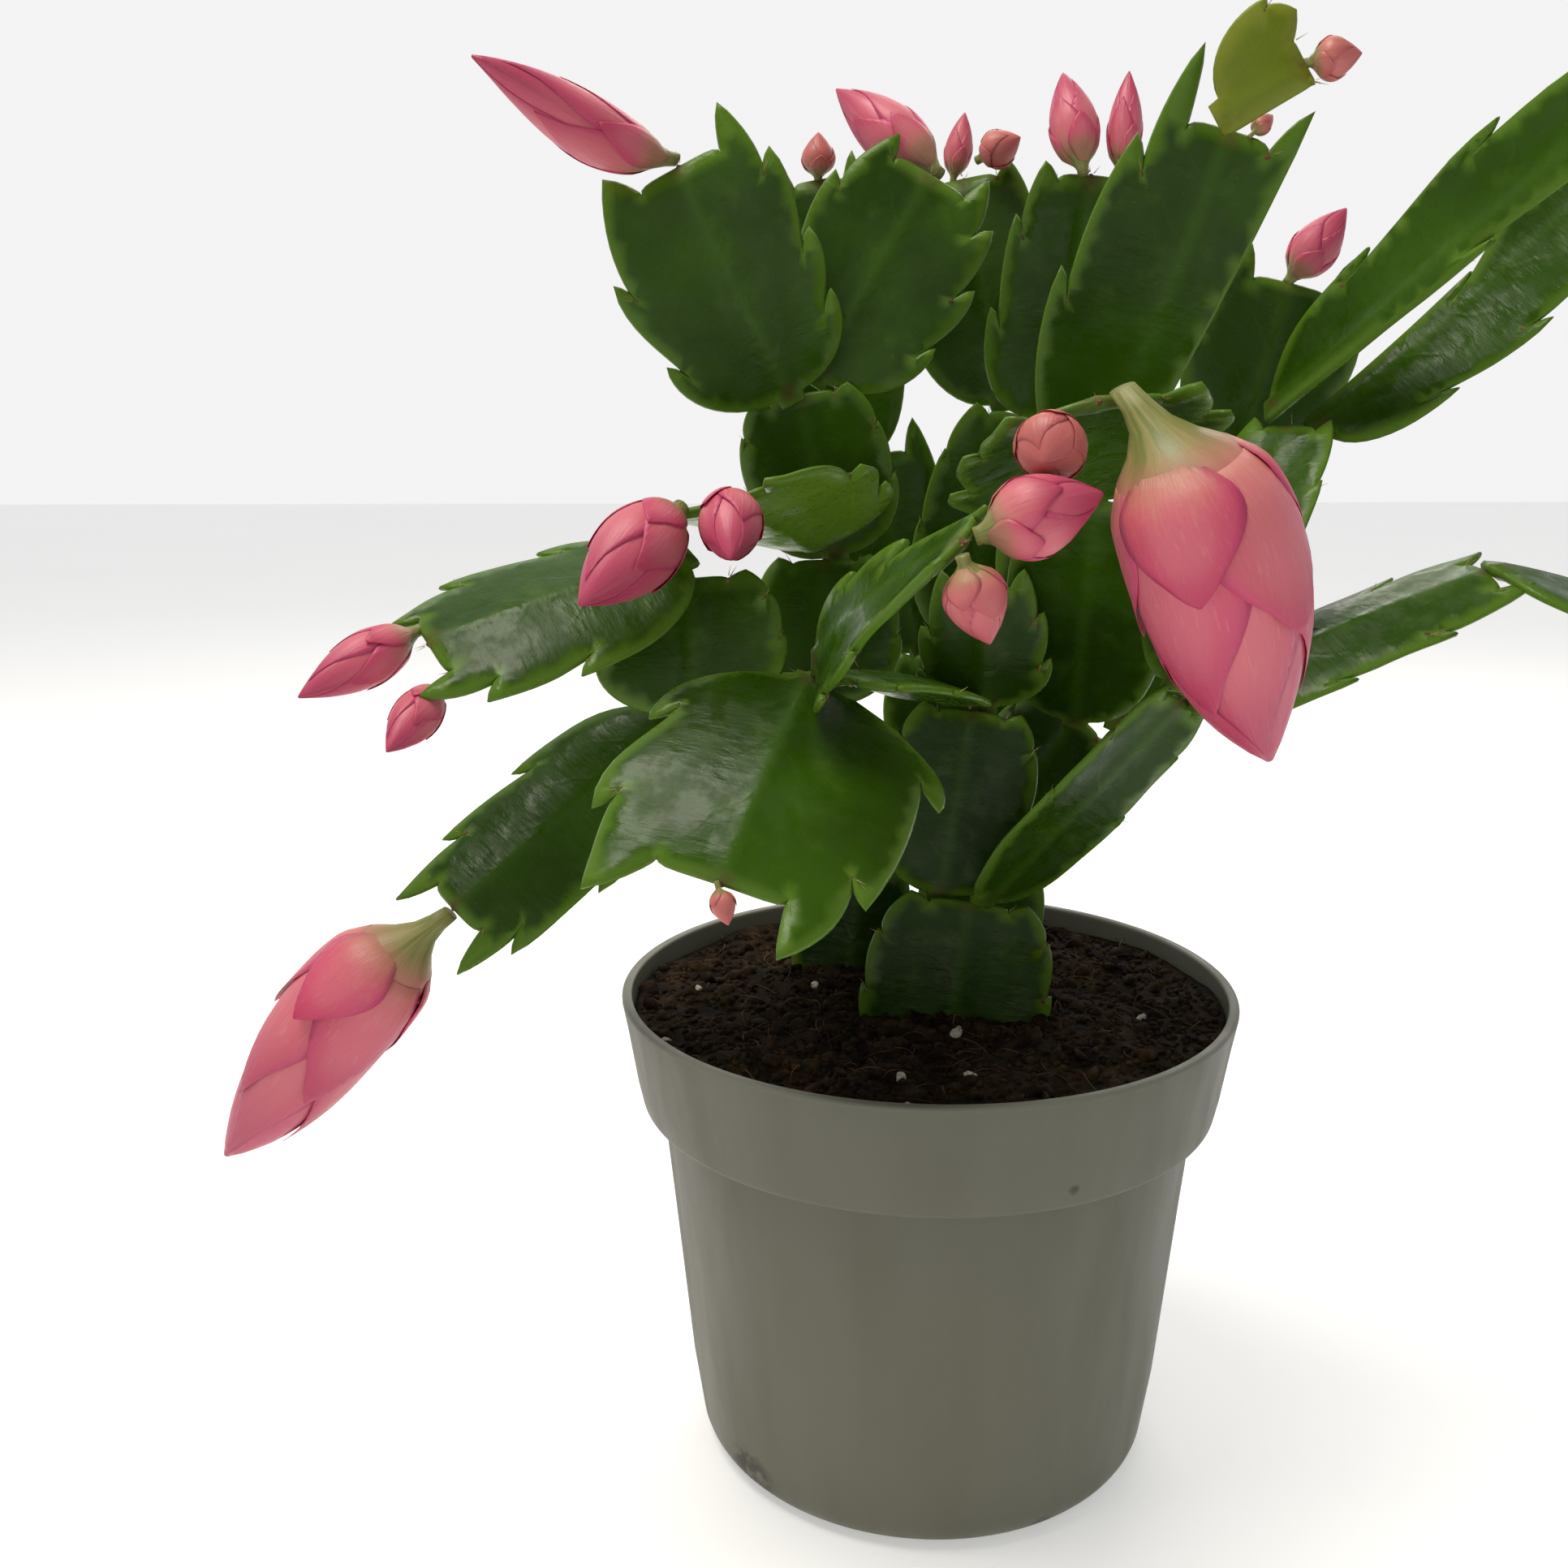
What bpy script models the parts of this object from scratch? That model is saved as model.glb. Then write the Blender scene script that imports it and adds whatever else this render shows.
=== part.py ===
"""Potted christmas cactus (Schlumbergera truncata) in a 9 cm nursery pot.

Metres, +Z up. The origin is the centre of the pot's base, on the surface the pot stands on.
The front of the plant faces -Y. Every stem segment is a flat toothed blade that starts on the
tip of the segment it grew from; every bud sits on the tip of a segment.
"""
import math

import bmesh
import bpy
from mathutils import Vector
from mathutils.geometry import delaunay_2d_cdt

MM = 0.001

# ---- pot ------------------------------------------------------------------------------------
POT_HEIGHT = 71.2
RIM_RADIUS = 45.0
COLLAR_FOOT_RADIUS = 42.4
COLLAR_HEIGHT = 16.4
BODY_TOP_RADIUS = 39.4
BASE_RADIUS = 34.2
BASE_ROUND = 5.0
WALL = 1.2
FLOOR = 1.8
POT_SIDES = 48
DRAIN_HOLES = 6
DRAIN_RADIUS = 3.5
DRAIN_RING = 24.0

# ---- soil -----------------------------------------------------------------------------------
SOIL_LEVEL = 68.4
SOIL_SWELL = 0.5
SOIL_GAP = 0.35
POCKET_GAP = 0.4

# ---- plant ----------------------------------------------------------------------------------
EDGE_THICK = 1.3
RIB_THICK = 2.4
NECK_HALF_WIDTH = 1.7
PLANTED_NECK = 0.55
JOINT_GAP = 0.4

# One side of a blade, from the neck to the end of the tip: distance along as a share of the
# length, distance out as a share of the half width.
YOUNG_OUTLINE = [
    (0.05, 0.36), (0.13, 0.66), (0.26, 0.90), (0.47, 1.00), (0.44, 0.86), (0.58, 0.95),
    (0.72, 0.97), (0.90, 0.96), (0.81, 0.70), (0.92, 0.70),
]
OLD_OUTLINE = [
    (0.08, 0.26), (0.18, 0.52), (0.32, 0.86), (0.52, 1.00), (0.50, 0.92), (0.62, 0.96),
    (0.74, 0.92), (0.88, 0.82), (0.84, 0.70), (0.94, 0.62),
]
OLD_HORN = 1.0
INNER_POINTS = [
    (0.08, 0.0), (0.28, 0.0), (0.50, 0.0), (0.70, 0.0), (0.88, 0.0),
    (0.28, 0.45), (0.50, 0.48), (0.72, 0.45), (0.28, -0.45), (0.50, -0.48), (0.72, -0.45),
]
TIP_HALF = 0.22
HORN_OUT = 0.62
HORN_ROOT = 0.36

# Foot of each planted cutting, in millimetres: x, y, z.
FEET = {
    "front_stem_base": (3, -8, 61),
    "left_stem_base": (-13, 12, 61),
    "back_stem_base": (8, 16, 61),
}

FRONT = (-90, 0)
UP = (0, 90)

# Growth plan of the stem segments, in growing order. Lengths in millimetres, angles in degrees.
# name: (grows on, across, fore, width, tip, looks, bow, cup, twist, horn)
#   across  where on the parent's tip the neck sits: to the right (+) or left (-) of its middle,
#           for someone who looks at the parent's face with its tip uppermost
#   fore    how far the neck stands in front of the parent's face (+) or behind it (-)
#   tip     where the middle of the segment's end is: x, y, z
#   looks   which way the face looks, as (bearing from +X towards +Y, slope above level)
#   bow     arch of the midrib towards the face; cup: lift of the margins towards the face
#   horn    how far the two end teeth reach past the tip
SEGMENTS = {
    # the cutting at the front, with the arm that reaches forward from its middle
    "front_stem_base": (None, 0, 0, 27, (6, -5, 85), FRONT, 0, 0.5, 0, 0.5),
    "front_stem_middle": ("front_stem_base", -4, -2, 22, (6, -1, 112), FRONT, 0, 1, 0, 0.5),
    "front_stem_top": ("front_stem_middle", 1.5, -2, 18, (7, -5, 130), FRONT, 1, 1.5, 0, 2.5),
    "front_arm_segment": ("front_stem_middle", -1.5, 2.2, 18, (-13, -34, 122), UP, 1, -1, 0, 0.5),
    "front_broad_segment": ("front_arm_segment", 1, -1, 36, (-22, -62, 104), (-70, 55), 2.5, -3, 0, 7),
    "front_twisted_segment": ("front_arm_segment", -1, 2, 24, (3, -60, 140), (-150, 35), 1, 2, 35, 3),
    # its long branch to the right
    "right_branch_base": ("front_stem_base", 2, 2, 16, (33, -12, 116), (-60, -30), 0, 1.5, 0, 0.9),
    "right_arching_segment": ("right_branch_base", 2.5, 0.8, 18, (73, -6, 132), (-130, 60), 1, -1, 0, 2),
    "right_end_segment": ("right_arching_segment", 0, 0, 25, (112, 0, 118), (-90, 80), 2, -2, 0, 5),
    "right_branch_riser": ("right_branch_base", -1.5, -1.2, 18, (50, 9, 151), (-125, 35), 0, 1.5, 0, 0.9),
    "right_upper_segment": ("right_branch_riser", -3, 1.2, 18, (78, -22, 187), (-155, 10), 0, 3, -30, 4),
    "right_lower_segment": ("right_branch_riser", 3, -1.6, 22, (86, 0, 183), (-125, 20), -2, 3, 0, 4),
    # the cutting at the left
    "left_stem_base": (None, 0, 0, 18, (-10, 14, 85), FRONT, 0, 0.5, 0, 0.5),
    "left_stem_lower": ("left_stem_base", 0, 0, 18, (-17, 6, 109), FRONT, 0, 1, 0, 0.5),
    "left_stem_middle": ("left_stem_lower", 2.5, -1.5, 22, (-16, 14, 132), FRONT, 0, 1, 0, 0.5),
    "left_stem_top": ("left_stem_middle", 1.5, -1.6, 22, (-19, 9, 156), FRONT, 0, 1, 0, 0.5),
    "left_crown_segment": ("left_stem_top", -1.5, 1.6, 29, (-35, 2, 186), FRONT, 1, 2, 0, 5),
    "middle_crown_segment": ("left_stem_top", 2.5, -2, 27, (-1, 14, 186), FRONT, 0.5, 1.5, 0, 4),
    "left_level_segment": ("left_stem_middle", -1.5, 1.8, 33, (-27, -28, 142), (180, 76), 1.5, 2.5, 0, 3.5),
    "left_arm_segment": ("left_stem_lower", -2.5, 1.8, 17, (-32, -16, 113), UP, 0, -1, 0, 0.5),
    "left_drooping_segment": ("left_arm_segment", 3, 0, 22, (-61, -32, 91), (-90, 40), -0.5, -2, 0, 4),
    "left_riser_segment": ("left_arm_segment", -3, 1.5, 25, (-32, -16, 132), FRONT, 0, 2, 0, 0.5),
    "left_outer_segment": ("left_riser_segment", 0, 3.2, 26, (-61, -36, 126), (-75, 60), 0.5, -2.5, 0, 3.5),
    # the cutting at the back
    "back_stem_base": (None, 0, 0, 20, (9, 26, 88), FRONT, 0, 0.5, 0, 0.5),
    "back_stem_lower": ("back_stem_base", -3, -1.2, 22, (2, 32, 116), FRONT, 0, 1, 0, 0.5),
    "back_left_segment": ("back_stem_lower", -3.5, -2, 22, (-9, 31, 147), FRONT, 0, 0.5, 0, 4),
    "back_right_segment": ("back_stem_lower", 3, 1.5, 22, (13, 26, 153), FRONT, 0, 1.5, 0, 0.5),
    "back_crown_left": ("back_left_segment", -3, 0, 18, (-18, 30, 188), FRONT, 1, 1.5, 0, 3.5),
    "back_crown_right": ("back_right_segment", 3, 1.6, 22, (21, 10, 185), (-80, 0), 1, 2, 0, 2),
    "back_crown_middle": ("back_right_segment", -3, -1.6, 23, (4, 32, 188), FRONT, 1, 1.5, 0, 1.2),
    # the middle of the plant, which grows on the cutting at the back
    "centre_stem_base": ("back_stem_base", 3, 1.5, 20, (22, 12, 109), (-110, 0), 0, 1, 0, 0.5),
    "centre_left_segment": ("centre_stem_base", -4, -0.5, 18, (16, 14, 136), FRONT, 0, 1, 0, 2),
    "centre_stem_middle": ("centre_stem_base", 0, 1.8, 22, (21, -12, 142), (-100, 0), 0, 1.5, 0, 0.5),
    "tall_crown_segment": ("centre_stem_middle", 0, -1.6, 24, (34, -22, 185), (-95, 0), 1, 2, 0, 6),
    "young_segment": ("tall_crown_segment", -1, 3.6, 14, (41, -27, 191), (-95, 0), 0.5, 1, 0, 2),
    "flower_arm_segment": ("centre_stem_middle", -2, 1.8, 32, (17, -52, 154), (180, 80), 2, -3, 0, 4),
    "right_stem_segment": ("centre_stem_base", 5, -4, 20, (42, 19, 140), FRONT, 0, 1, 0, 0.5),
    "right_crown_segment": ("right_stem_segment", 0, 0, 26, (50, 17, 171), (-80, 0), 0.5, 1.5, 0, 3),
}

# Buds: (grows on, across, fore, thickness, tip, sway, arch, kind). Sway and arch bend the bud
# level and upwards out of a straight line. A flower bud has a bare green tube below its petals;
# a plain bud is petals all the way down.
BUDS = {
    "bud_left_crown": ("left_crown_segment", -0.5, 0, 8.5, (-58, -16, 197), 0, -1.5, "bud"),
    "bud_back_crown": ("back_crown_left", 0, 0, 5.4, (-18, 30, 195), 0, 0, "bud"),
    "bud_middle_crown": ("middle_crown_segment", 0, -3.5, 9, (-15, 25, 200), 0, 0, "bud"),
    "bud_back_small": ("back_crown_middle", -1.5, 0, 4.4, (4, 34, 198), 0, 0, "bud"),
    "bud_back_leaning": ("back_crown_middle", 3, 2.6, 6, (12, 26, 193), 0, 0, "bud"),
    "bud_back_right": ("back_crown_right", -2, 2, 7, (17, 13, 199), 0, 0, "bud"),
    "bud_back_right_small": ("back_crown_right", 4, 0, 5, (26, 13, 199), 0, 0, "bud"),
    "bud_young_segment": ("young_segment", 0, 0, 5, (47, -28, 192), 0, 0, "bud"),
    "bud_tall_tiny": ("tall_crown_segment", 2.6, 0, 2.4, (39, -21, 187), 0, 0, "bud"),
    "bud_right_crown": ("right_crown_segment", 0, 0, 7, (57, 16, 181), 0, 0, "bud"),
    "bud_flower_arm": ("flower_arm_segment", 5, -2.5, 7.8, (11, -60, 148), 0, 0, "bud"),
    "bud_twisted_pointed": ("front_twisted_segment", -1.5, -1, 9, (17, -60, 145), 0, 0, "bud"),
    "bud_twisted_hanging": ("front_twisted_segment", 3, -1.5, 6.8, (6, -62, 130), 0, 0, "bud"),
    "bud_level_long": ("left_level_segment", 4, 0, 10.5, (-40, -46, 132), 0, 0, "bud"),
    "bud_level_round": ("left_level_segment", -3, 0, 8, (-23, -42, 137), 0, 0, "bud"),
    "bud_outer_upper": ("left_outer_segment", 3.5, 0, 7, (-74, -46, 121), 0, 0, "bud"),
    "bud_outer_lower": ("left_outer_segment", -3, -4.5, 6, (-63, -48, 115), 0, 0, "bud"),
    "large_bud_right": ("flower_arm_segment", -2.5, 0, 21, (38, -46, 115), -5, 0, "flower"),
    "large_bud_left": ("left_drooping_segment", 0, 0, 17.5, (-94, -34, 56), 0, 1.5, "flower"),
    "bud_stub_front": ("front_broad_segment", 0, 0, 3, (-21, -64, 100), 0, 0, "bud"),
}

# Radius of a bud as a share of its half thickness, at shares of its length.
BUD_PROFILE = [(0.0, 0.30), (0.06, 0.62), (0.18, 0.90), (0.38, 1.00), (0.58, 0.88),
               (0.78, 0.52), (0.93, 0.18), (1.0, 0.03)]
FLOWER_PROFILE = [(0.0, 0.13), (0.10, 0.20), (0.20, 0.42), (0.28, 0.82), (0.45, 1.00),
                  (0.63, 0.90), (0.82, 0.55), (0.95, 0.20), (1.0, 0.04)]
BUD_SIDES = 8
BUD_STANDOFF = 1.8


def clear_scene():
    for block in list(bpy.data.objects):
        bpy.data.objects.remove(block, do_unlink=True)


def make_material(name, colour, roughness, metallic=0.0):
    material = bpy.data.materials.new(name)
    material.use_nodes = True
    shader = material.node_tree.nodes["Principled BSDF"]
    shader.inputs["Base Color"].default_value = (*colour, 1.0)
    shader.inputs["Roughness"].default_value = roughness
    shader.inputs["Metallic"].default_value = metallic
    material.diffuse_color = (*colour, 1.0)
    return material


def add_object(name, verts, faces, material, smooth=True):
    """A closed mesh with its faces turned outwards, given in millimetres."""
    mesh = bpy.data.meshes.new(name)
    mesh.from_pydata([(x * MM, y * MM, z * MM) for x, y, z in verts], [], faces)
    body = bmesh.new()
    body.from_mesh(mesh)
    bmesh.ops.recalc_face_normals(body, faces=body.faces)
    body.to_mesh(mesh)
    body.free()
    for polygon in mesh.polygons:
        polygon.use_smooth = smooth
    mesh.materials.append(material)
    thing = bpy.data.objects.new(name, mesh)
    bpy.context.scene.collection.objects.link(thing)
    return thing


def revolve(profile, sides):
    """Rings of vertices round Z for a profile that runs from axis to axis or round a wall."""
    verts = []
    faces = []
    count = len(profile)
    for radius, height in profile:
        for step in range(sides):
            angle = 2.0 * math.pi * step / sides
            verts.append((radius * math.cos(angle), radius * math.sin(angle), height))
    for ring in range(count - 1):
        for step in range(sides):
            after = (step + 1) % sides
            faces.append((ring * sides + step, ring * sides + after,
                          (ring + 1) * sides + after, (ring + 1) * sides + step))
    faces.append(tuple(range(sides - 1, -1, -1)))
    faces.append(tuple((count - 1) * sides + step for step in range(sides)))
    return verts, faces


def inner_radius(height):
    """Inside of the pot wall at a height."""
    step = POT_HEIGHT - COLLAR_HEIGHT - 1.5
    if height > step:
        share = (height - step) / (POT_HEIGHT - step)
        return COLLAR_FOOT_RADIUS + share * (RIM_RADIUS - COLLAR_FOOT_RADIUS) - WALL
    share = height / step
    return BASE_RADIUS + share * (BODY_TOP_RADIUS - BASE_RADIUS) - WALL


def pot_profile():
    shoulder = POT_HEIGHT - COLLAR_HEIGHT
    outside = [(BASE_RADIUS - BASE_ROUND, 0.0)]
    for step in range(1, 4):
        angle = math.radians(30.0 * step)
        outside.append((BASE_RADIUS - BASE_ROUND * (1.0 - math.sin(angle)),
                        BASE_ROUND * (1.0 - math.cos(angle))))
    outside += [
        (BODY_TOP_RADIUS, shoulder - 0.6), (COLLAR_FOOT_RADIUS - 0.9, shoulder),
        (COLLAR_FOOT_RADIUS, shoulder + 1.0), (RIM_RADIUS - 0.2, POT_HEIGHT - 1.0),
        (RIM_RADIUS, POT_HEIGHT - 0.4), (RIM_RADIUS - 0.4, POT_HEIGHT),
        (RIM_RADIUS - WALL, POT_HEIGHT),
    ]
    step_height = shoulder - 1.5
    inside = [
        (COLLAR_FOOT_RADIUS - WALL, step_height + 1.4), (inner_radius(step_height), step_height),
        (inner_radius(BASE_ROUND), BASE_ROUND + 1.0), (BASE_RADIUS - BASE_ROUND, FLOOR),
    ]
    return outside + inside


def cut_away(thing, cutters):
    """Take the cutters out of the thing, and keep them out of sight."""
    for cutter in cutters:
        cutter.hide_render = True
        cutter.display_type = "WIRE"
        tool = thing.modifiers.new("cut_" + cutter.name, "BOOLEAN")
        tool.operation = "DIFFERENCE"
        tool.solver = "EXACT"
        tool.object = cutter


def make_pot(material):
    verts, faces = revolve(pot_profile(), POT_SIDES)
    pot = add_object("pot", verts, faces, material)
    cutters = []
    for hole in range(DRAIN_HOLES):
        angle = 2.0 * math.pi * (hole + 0.5) / DRAIN_HOLES
        ring_verts, ring_faces = revolve([(DRAIN_RADIUS, -2.0), (DRAIN_RADIUS, FLOOR + 2.0)], 12)
        cutter = add_object("drain_cutter_%d" % hole, ring_verts, ring_faces, material, False)
        cutter.location = (DRAIN_RING * math.cos(angle) * MM,
                           DRAIN_RING * math.sin(angle) * MM, 0.0)
        cutters.append(cutter)
    cut_away(pot, cutters)
    return pot


def soil_height(x, y):
    swell = math.sin(x * 0.16 + 0.8) * math.cos(y * 0.19 - 0.4)
    return SOIL_LEVEL + SOIL_SWELL * swell


def make_soil(material):
    shoulder = POT_HEIGHT - COLLAR_HEIGHT
    top = inner_radius(SOIL_LEVEL) - SOIL_GAP
    buried = [
        (BASE_RADIUS - BASE_ROUND - 0.5, FLOOR + 0.4),
        (inner_radius(BASE_ROUND + 2.0) - 0.7, BASE_ROUND + 2.0),
        (inner_radius(shoulder - 1.5) - 0.5, shoulder - 1.3),
        (COLLAR_FOOT_RADIUS - WALL - 0.5, shoulder + 0.4),
    ]
    profile = buried + [(top, SOIL_LEVEL)]
    for share in (0.75, 0.5, 0.25):
        profile.append((top * share, SOIL_LEVEL))
    verts, faces = revolve(profile, POT_SIDES)
    first_top = len(buried) * POT_SIDES
    for index in range(first_top, len(verts)):
        x, y, _ = verts[index]
        verts[index] = (x, y, soil_height(x, y))
    return add_object("soil", verts, faces, material)


def direction(bearing, climb):
    turn = math.radians(bearing)
    slope = math.radians(climb)
    return Vector((math.cos(slope) * math.cos(turn), math.cos(slope) * math.sin(turn),
                   math.sin(slope)))


class Blade:
    """Placement and bending of one segment; lengths in millimetres."""

    def __init__(self, base, row):
        (parent, _, _, self.width, tip, looks, self.bow, self.cup, self.twist, self.horn) = row
        self.planted = parent is None
        self.base = base
        self.half = self.width / 2.0
        reach = Vector(tip) - base
        self.length = reach.length
        self.axis = reach.normalized()
        outward = direction(*looks)
        self.face = (outward - self.axis * outward.dot(self.axis)).normalized()
        self.side = self.axis.cross(self.face)

    def side_at(self, share):
        turn = math.radians(self.twist) * (share - 0.5)
        return self.side * math.cos(turn) + self.face * math.sin(turn)

    def face_at(self, share):
        turn = math.radians(self.twist) * (share - 0.5)
        upright = self.face * math.cos(turn) - self.side * math.sin(turn)
        slope = self.bow * 4.0 * (1.0 - 2.0 * share) / self.length
        return (upright - self.axis * slope).normalized()

    def point(self, along, across, lift=0.0):
        """Map a place on the flat blade to its place in the air."""
        share = along / self.length
        held = min(max(share, 0.0), 1.0)
        spine = self.base + self.axis * along + self.face * (self.bow * 4.0 * held * (1.0 - held))
        curl = self.cup * (abs(across) / self.half) ** 1.5
        return spine + self.side_at(held) * across + self.face_at(held) * (curl + lift)

    def tip(self, across, fore=0.0):
        return self.point(self.length, across, fore)


def reach_back(parent, child_side, child_face):
    """How far the neck's corners stick back over the middle of its end."""
    return (abs(child_side.dot(parent.axis)) * NECK_HALF_WIDTH
            + abs(child_face.dot(parent.axis)) * EDGE_THICK)


def blade_outline(blade, grow=0.0):
    """Closed outline of the flat blade: up the right side, down the left."""
    half = blade.half + grow
    length = blade.length
    neck = half * PLANTED_NECK if blade.planted else NECK_HALF_WIDTH
    right = [(-grow, neck)]
    shape = OLD_OUTLINE if blade.horn < OLD_HORN else YOUNG_OUTLINE
    for along, out in shape:
        if blade.planted and along < 0.2:
            continue
        right.append((along * length, out * half))
    right.append((length + blade.horn, HORN_OUT * half))
    right.append((length * 0.985, HORN_ROOT * half))
    right.append((length, TIP_HALF * half))
    left = [(along, -out) for along, out in reversed(right)]
    return right + left


def blade_body(blade, grow=0.0):
    """Vertices and triangles of a blade with a thin margin and a thicker midrib."""
    outline = blade_outline(blade, grow)
    flat = [Vector(point) for point in outline]
    for along, out in INNER_POINTS:
        flat.append(Vector((along * blade.length, out * blade.half)))
    count = len(outline)
    edges = [(index, (index + 1) % count) for index in range(count)]
    points, _, triangles, _, _, _ = delaunay_2d_cdt(flat, edges, [], 1, 1e-5)
    verts = []
    for side in (1.0, -1.0):
        for along, across in points:
            share = min(abs(across) / blade.half, 1.0)
            thick = EDGE_THICK + (RIB_THICK - EDGE_THICK) * (1.0 - share) ** 2 + 2.0 * grow
            verts.append(blade.point(along, across, side * thick / 2.0))
    total = len(points)
    faces = [tuple(triangle) for triangle in triangles]
    faces += [tuple(total + index for index in reversed(triangle)) for triangle in triangles]
    used = {}
    for triangle in triangles:
        for first, second in zip(triangle, triangle[1:] + triangle[:1]):
            used[(first, second)] = True
    for first, second in used:
        if (second, first) not in used:
            faces.append((second, first, total + first, total + second))
    return verts, faces


def grow_segments(colours):
    """Every blade in growing order, each with its neck just clear of its parent's tip."""
    blades = {}
    for name, row in SEGMENTS.items():
        parent_name, across, fore = row[:3]
        if parent_name is None:
            base = Vector(FEET[name])
        else:
            parent = blades[parent_name]
            rough = Blade(parent.tip(across, fore), row)
            back = reach_back(parent, rough.side, rough.face)
            base = parent.tip(across, fore) + parent.axis * (JOINT_GAP + back)
        blades[name] = Blade(base, row)
        verts, faces = blade_body(blades[name])
        material = colours["young"] if name == "young_segment" else colours["segment"]
        add_object(name, verts, faces, material)
    return blades


def cut_pockets(soil, blades, material):
    """Room in the soil for the buried feet of the planted cuttings."""
    cutters = []
    for name in FEET:
        verts, faces = blade_body(blades[name], POCKET_GAP)
        cutters.append(add_object("pocket_" + name, verts, faces, material, False))
    cut_away(soil, cutters)


def make_bud(name, blades, colours):
    parent_name, across, fore, thickness, tip, sway, arch, kind = BUDS[name]
    parent = blades[parent_name]
    profile = FLOWER_PROFILE if kind == "flower" else BUD_PROFILE
    foot = profile[0][1] * thickness / 2.0
    seat = parent.tip(across, fore)
    lean = (Vector(tip) - seat).normalized()
    slant = math.sqrt(max(0.0, 1.0 - lean.dot(parent.axis) ** 2)) * BUD_STANDOFF
    base = seat + parent.axis * (JOINT_GAP + foot * slant)
    length = (Vector(tip) - base).length
    axis = (Vector(tip) - base).normalized()
    level = Vector((-axis.y, axis.x, 0.0)).normalized()
    upper = axis.cross(level)
    verts = []
    faces = []
    for share, radius in profile:
        bend = 6.75 * share * (1.0 - share) ** 2
        middle = base + axis * (share * length) + (level * sway + upper * arch) * bend
        for step in range(BUD_SIDES):
            angle = 2.0 * math.pi * step / BUD_SIDES
            out = level * math.cos(angle) + upper * math.sin(angle)
            verts.append(middle + out * (radius * thickness / 2.0))
    for ring in range(len(profile) - 1):
        for step in range(BUD_SIDES):
            after = (step + 1) % BUD_SIDES
            faces.append((ring * BUD_SIDES + step, ring * BUD_SIDES + after,
                          (ring + 1) * BUD_SIDES + after, (ring + 1) * BUD_SIDES + step))
    last = (len(profile) - 1) * BUD_SIDES
    faces.append(tuple(range(BUD_SIDES - 1, -1, -1)))
    faces.append(tuple(last + step for step in range(BUD_SIDES)))
    return add_object(name, verts, faces, colours["bud"])


def main():
    clear_scene()
    colours = {
        "pot": make_material("pot_plastic", (0.20, 0.21, 0.18), 0.55),
        "soil": make_material("peat", (0.035, 0.024, 0.016), 0.95),
        "segment": make_material("segment_green", (0.03, 0.10, 0.02), 0.35),
        "young": make_material("young_green", (0.16, 0.24, 0.03), 0.40),
        "bud": make_material("bud_pink", (0.72, 0.22, 0.28), 0.50),
    }
    make_pot(colours["pot"])
    soil = make_soil(colours["soil"])
    blades = grow_segments(colours)
    cut_pockets(soil, blades, colours["soil"])
    for name in BUDS:
        make_bud(name, blades, colours)


main()
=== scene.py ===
"""Finish of the potted christmas cactus: toothed stem segments, scaled buds, peat and pot.

Lengths are in millimetres inside this script and become metres when a mesh is made. The growth
plan is the one that the solids were grown from, so every fine piece lies where its solid is.
"""
import math
import random
from itertools import product

import bmesh
import bpy
from mathutils import Matrix, Vector, noise
from mathutils.geometry import delaunay_2d_cdt
from mathutils.kdtree import KDTree


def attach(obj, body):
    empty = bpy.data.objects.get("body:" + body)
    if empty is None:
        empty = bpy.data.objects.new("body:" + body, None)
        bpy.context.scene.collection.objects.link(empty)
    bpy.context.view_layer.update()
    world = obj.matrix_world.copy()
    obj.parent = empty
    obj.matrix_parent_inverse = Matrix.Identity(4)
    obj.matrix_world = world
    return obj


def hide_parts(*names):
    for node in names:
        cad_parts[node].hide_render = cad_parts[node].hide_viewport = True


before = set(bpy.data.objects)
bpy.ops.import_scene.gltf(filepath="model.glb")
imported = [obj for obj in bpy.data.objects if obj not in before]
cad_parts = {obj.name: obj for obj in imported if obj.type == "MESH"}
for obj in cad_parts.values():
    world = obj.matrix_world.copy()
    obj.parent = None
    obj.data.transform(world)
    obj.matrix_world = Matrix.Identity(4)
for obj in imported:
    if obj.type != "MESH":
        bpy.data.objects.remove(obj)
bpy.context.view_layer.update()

MM = 0.001

# ---- pot and peat, in millimetres -------------------------------------------------------------
POT_HEIGHT = 71.2
RIM_RADIUS = 45.0
COLLAR_FOOT_RADIUS = 42.4
COLLAR_HEIGHT = 16.4
BODY_TOP_RADIUS = 39.4
BASE_RADIUS = 34.2
BASE_ROUND = 5.0
WALL = 1.2
FLOOR = 1.8
POT_SIDES = 160
DRAIN_HOLES = 6
DRAIN_RADIUS = 3.5
DRAIN_RING = 24.0
SOIL_LEVEL = 68.4
SOIL_GAP = 0.35
SOIL_SIDES = 120
SOIL_RINGS = 40

# ---- camera, aimed from the middle of the rim and then turned left, up and over ---------------
VIEW_DISTANCE = 236.5
VIEW_ELEVATION = 19.9
VIEW_YAW = 5.3
VIEW_PITCH = 7.0
VIEW_ROLL = -1.5
LENS = 36.06
WARM = (1.0, 0.95, 0.84)
# the place that the lamps are aimed at, in metres
LIT_MIDDLE = (0.0, 0.0, 0.11)

# ---- plant ------------------------------------------------------------------------------------
NECK_HALF_WIDTH = 1.9
PLANTED_NECK = 0.55
JOINT_GAP = 0.4
EDGE_THICK = 1.3
BUD_STANDOFF = 1.8
RIPPLE_LENGTH = 11.0
RIPPLE_HEIGHT = 0.9
RIM_BULGE = 0.28
# the closed body of a bud under its scales
HEART_RINGS = 22
HEART_SIDES = 20
FRONT = (-90, 0)
UP = (0, 90)

FEET = {
    "front_stem_base": (3, -8, 61),
    "left_stem_base": (-13, 12, 61),
    "back_stem_base": (8, 16, 61),
}

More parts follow.
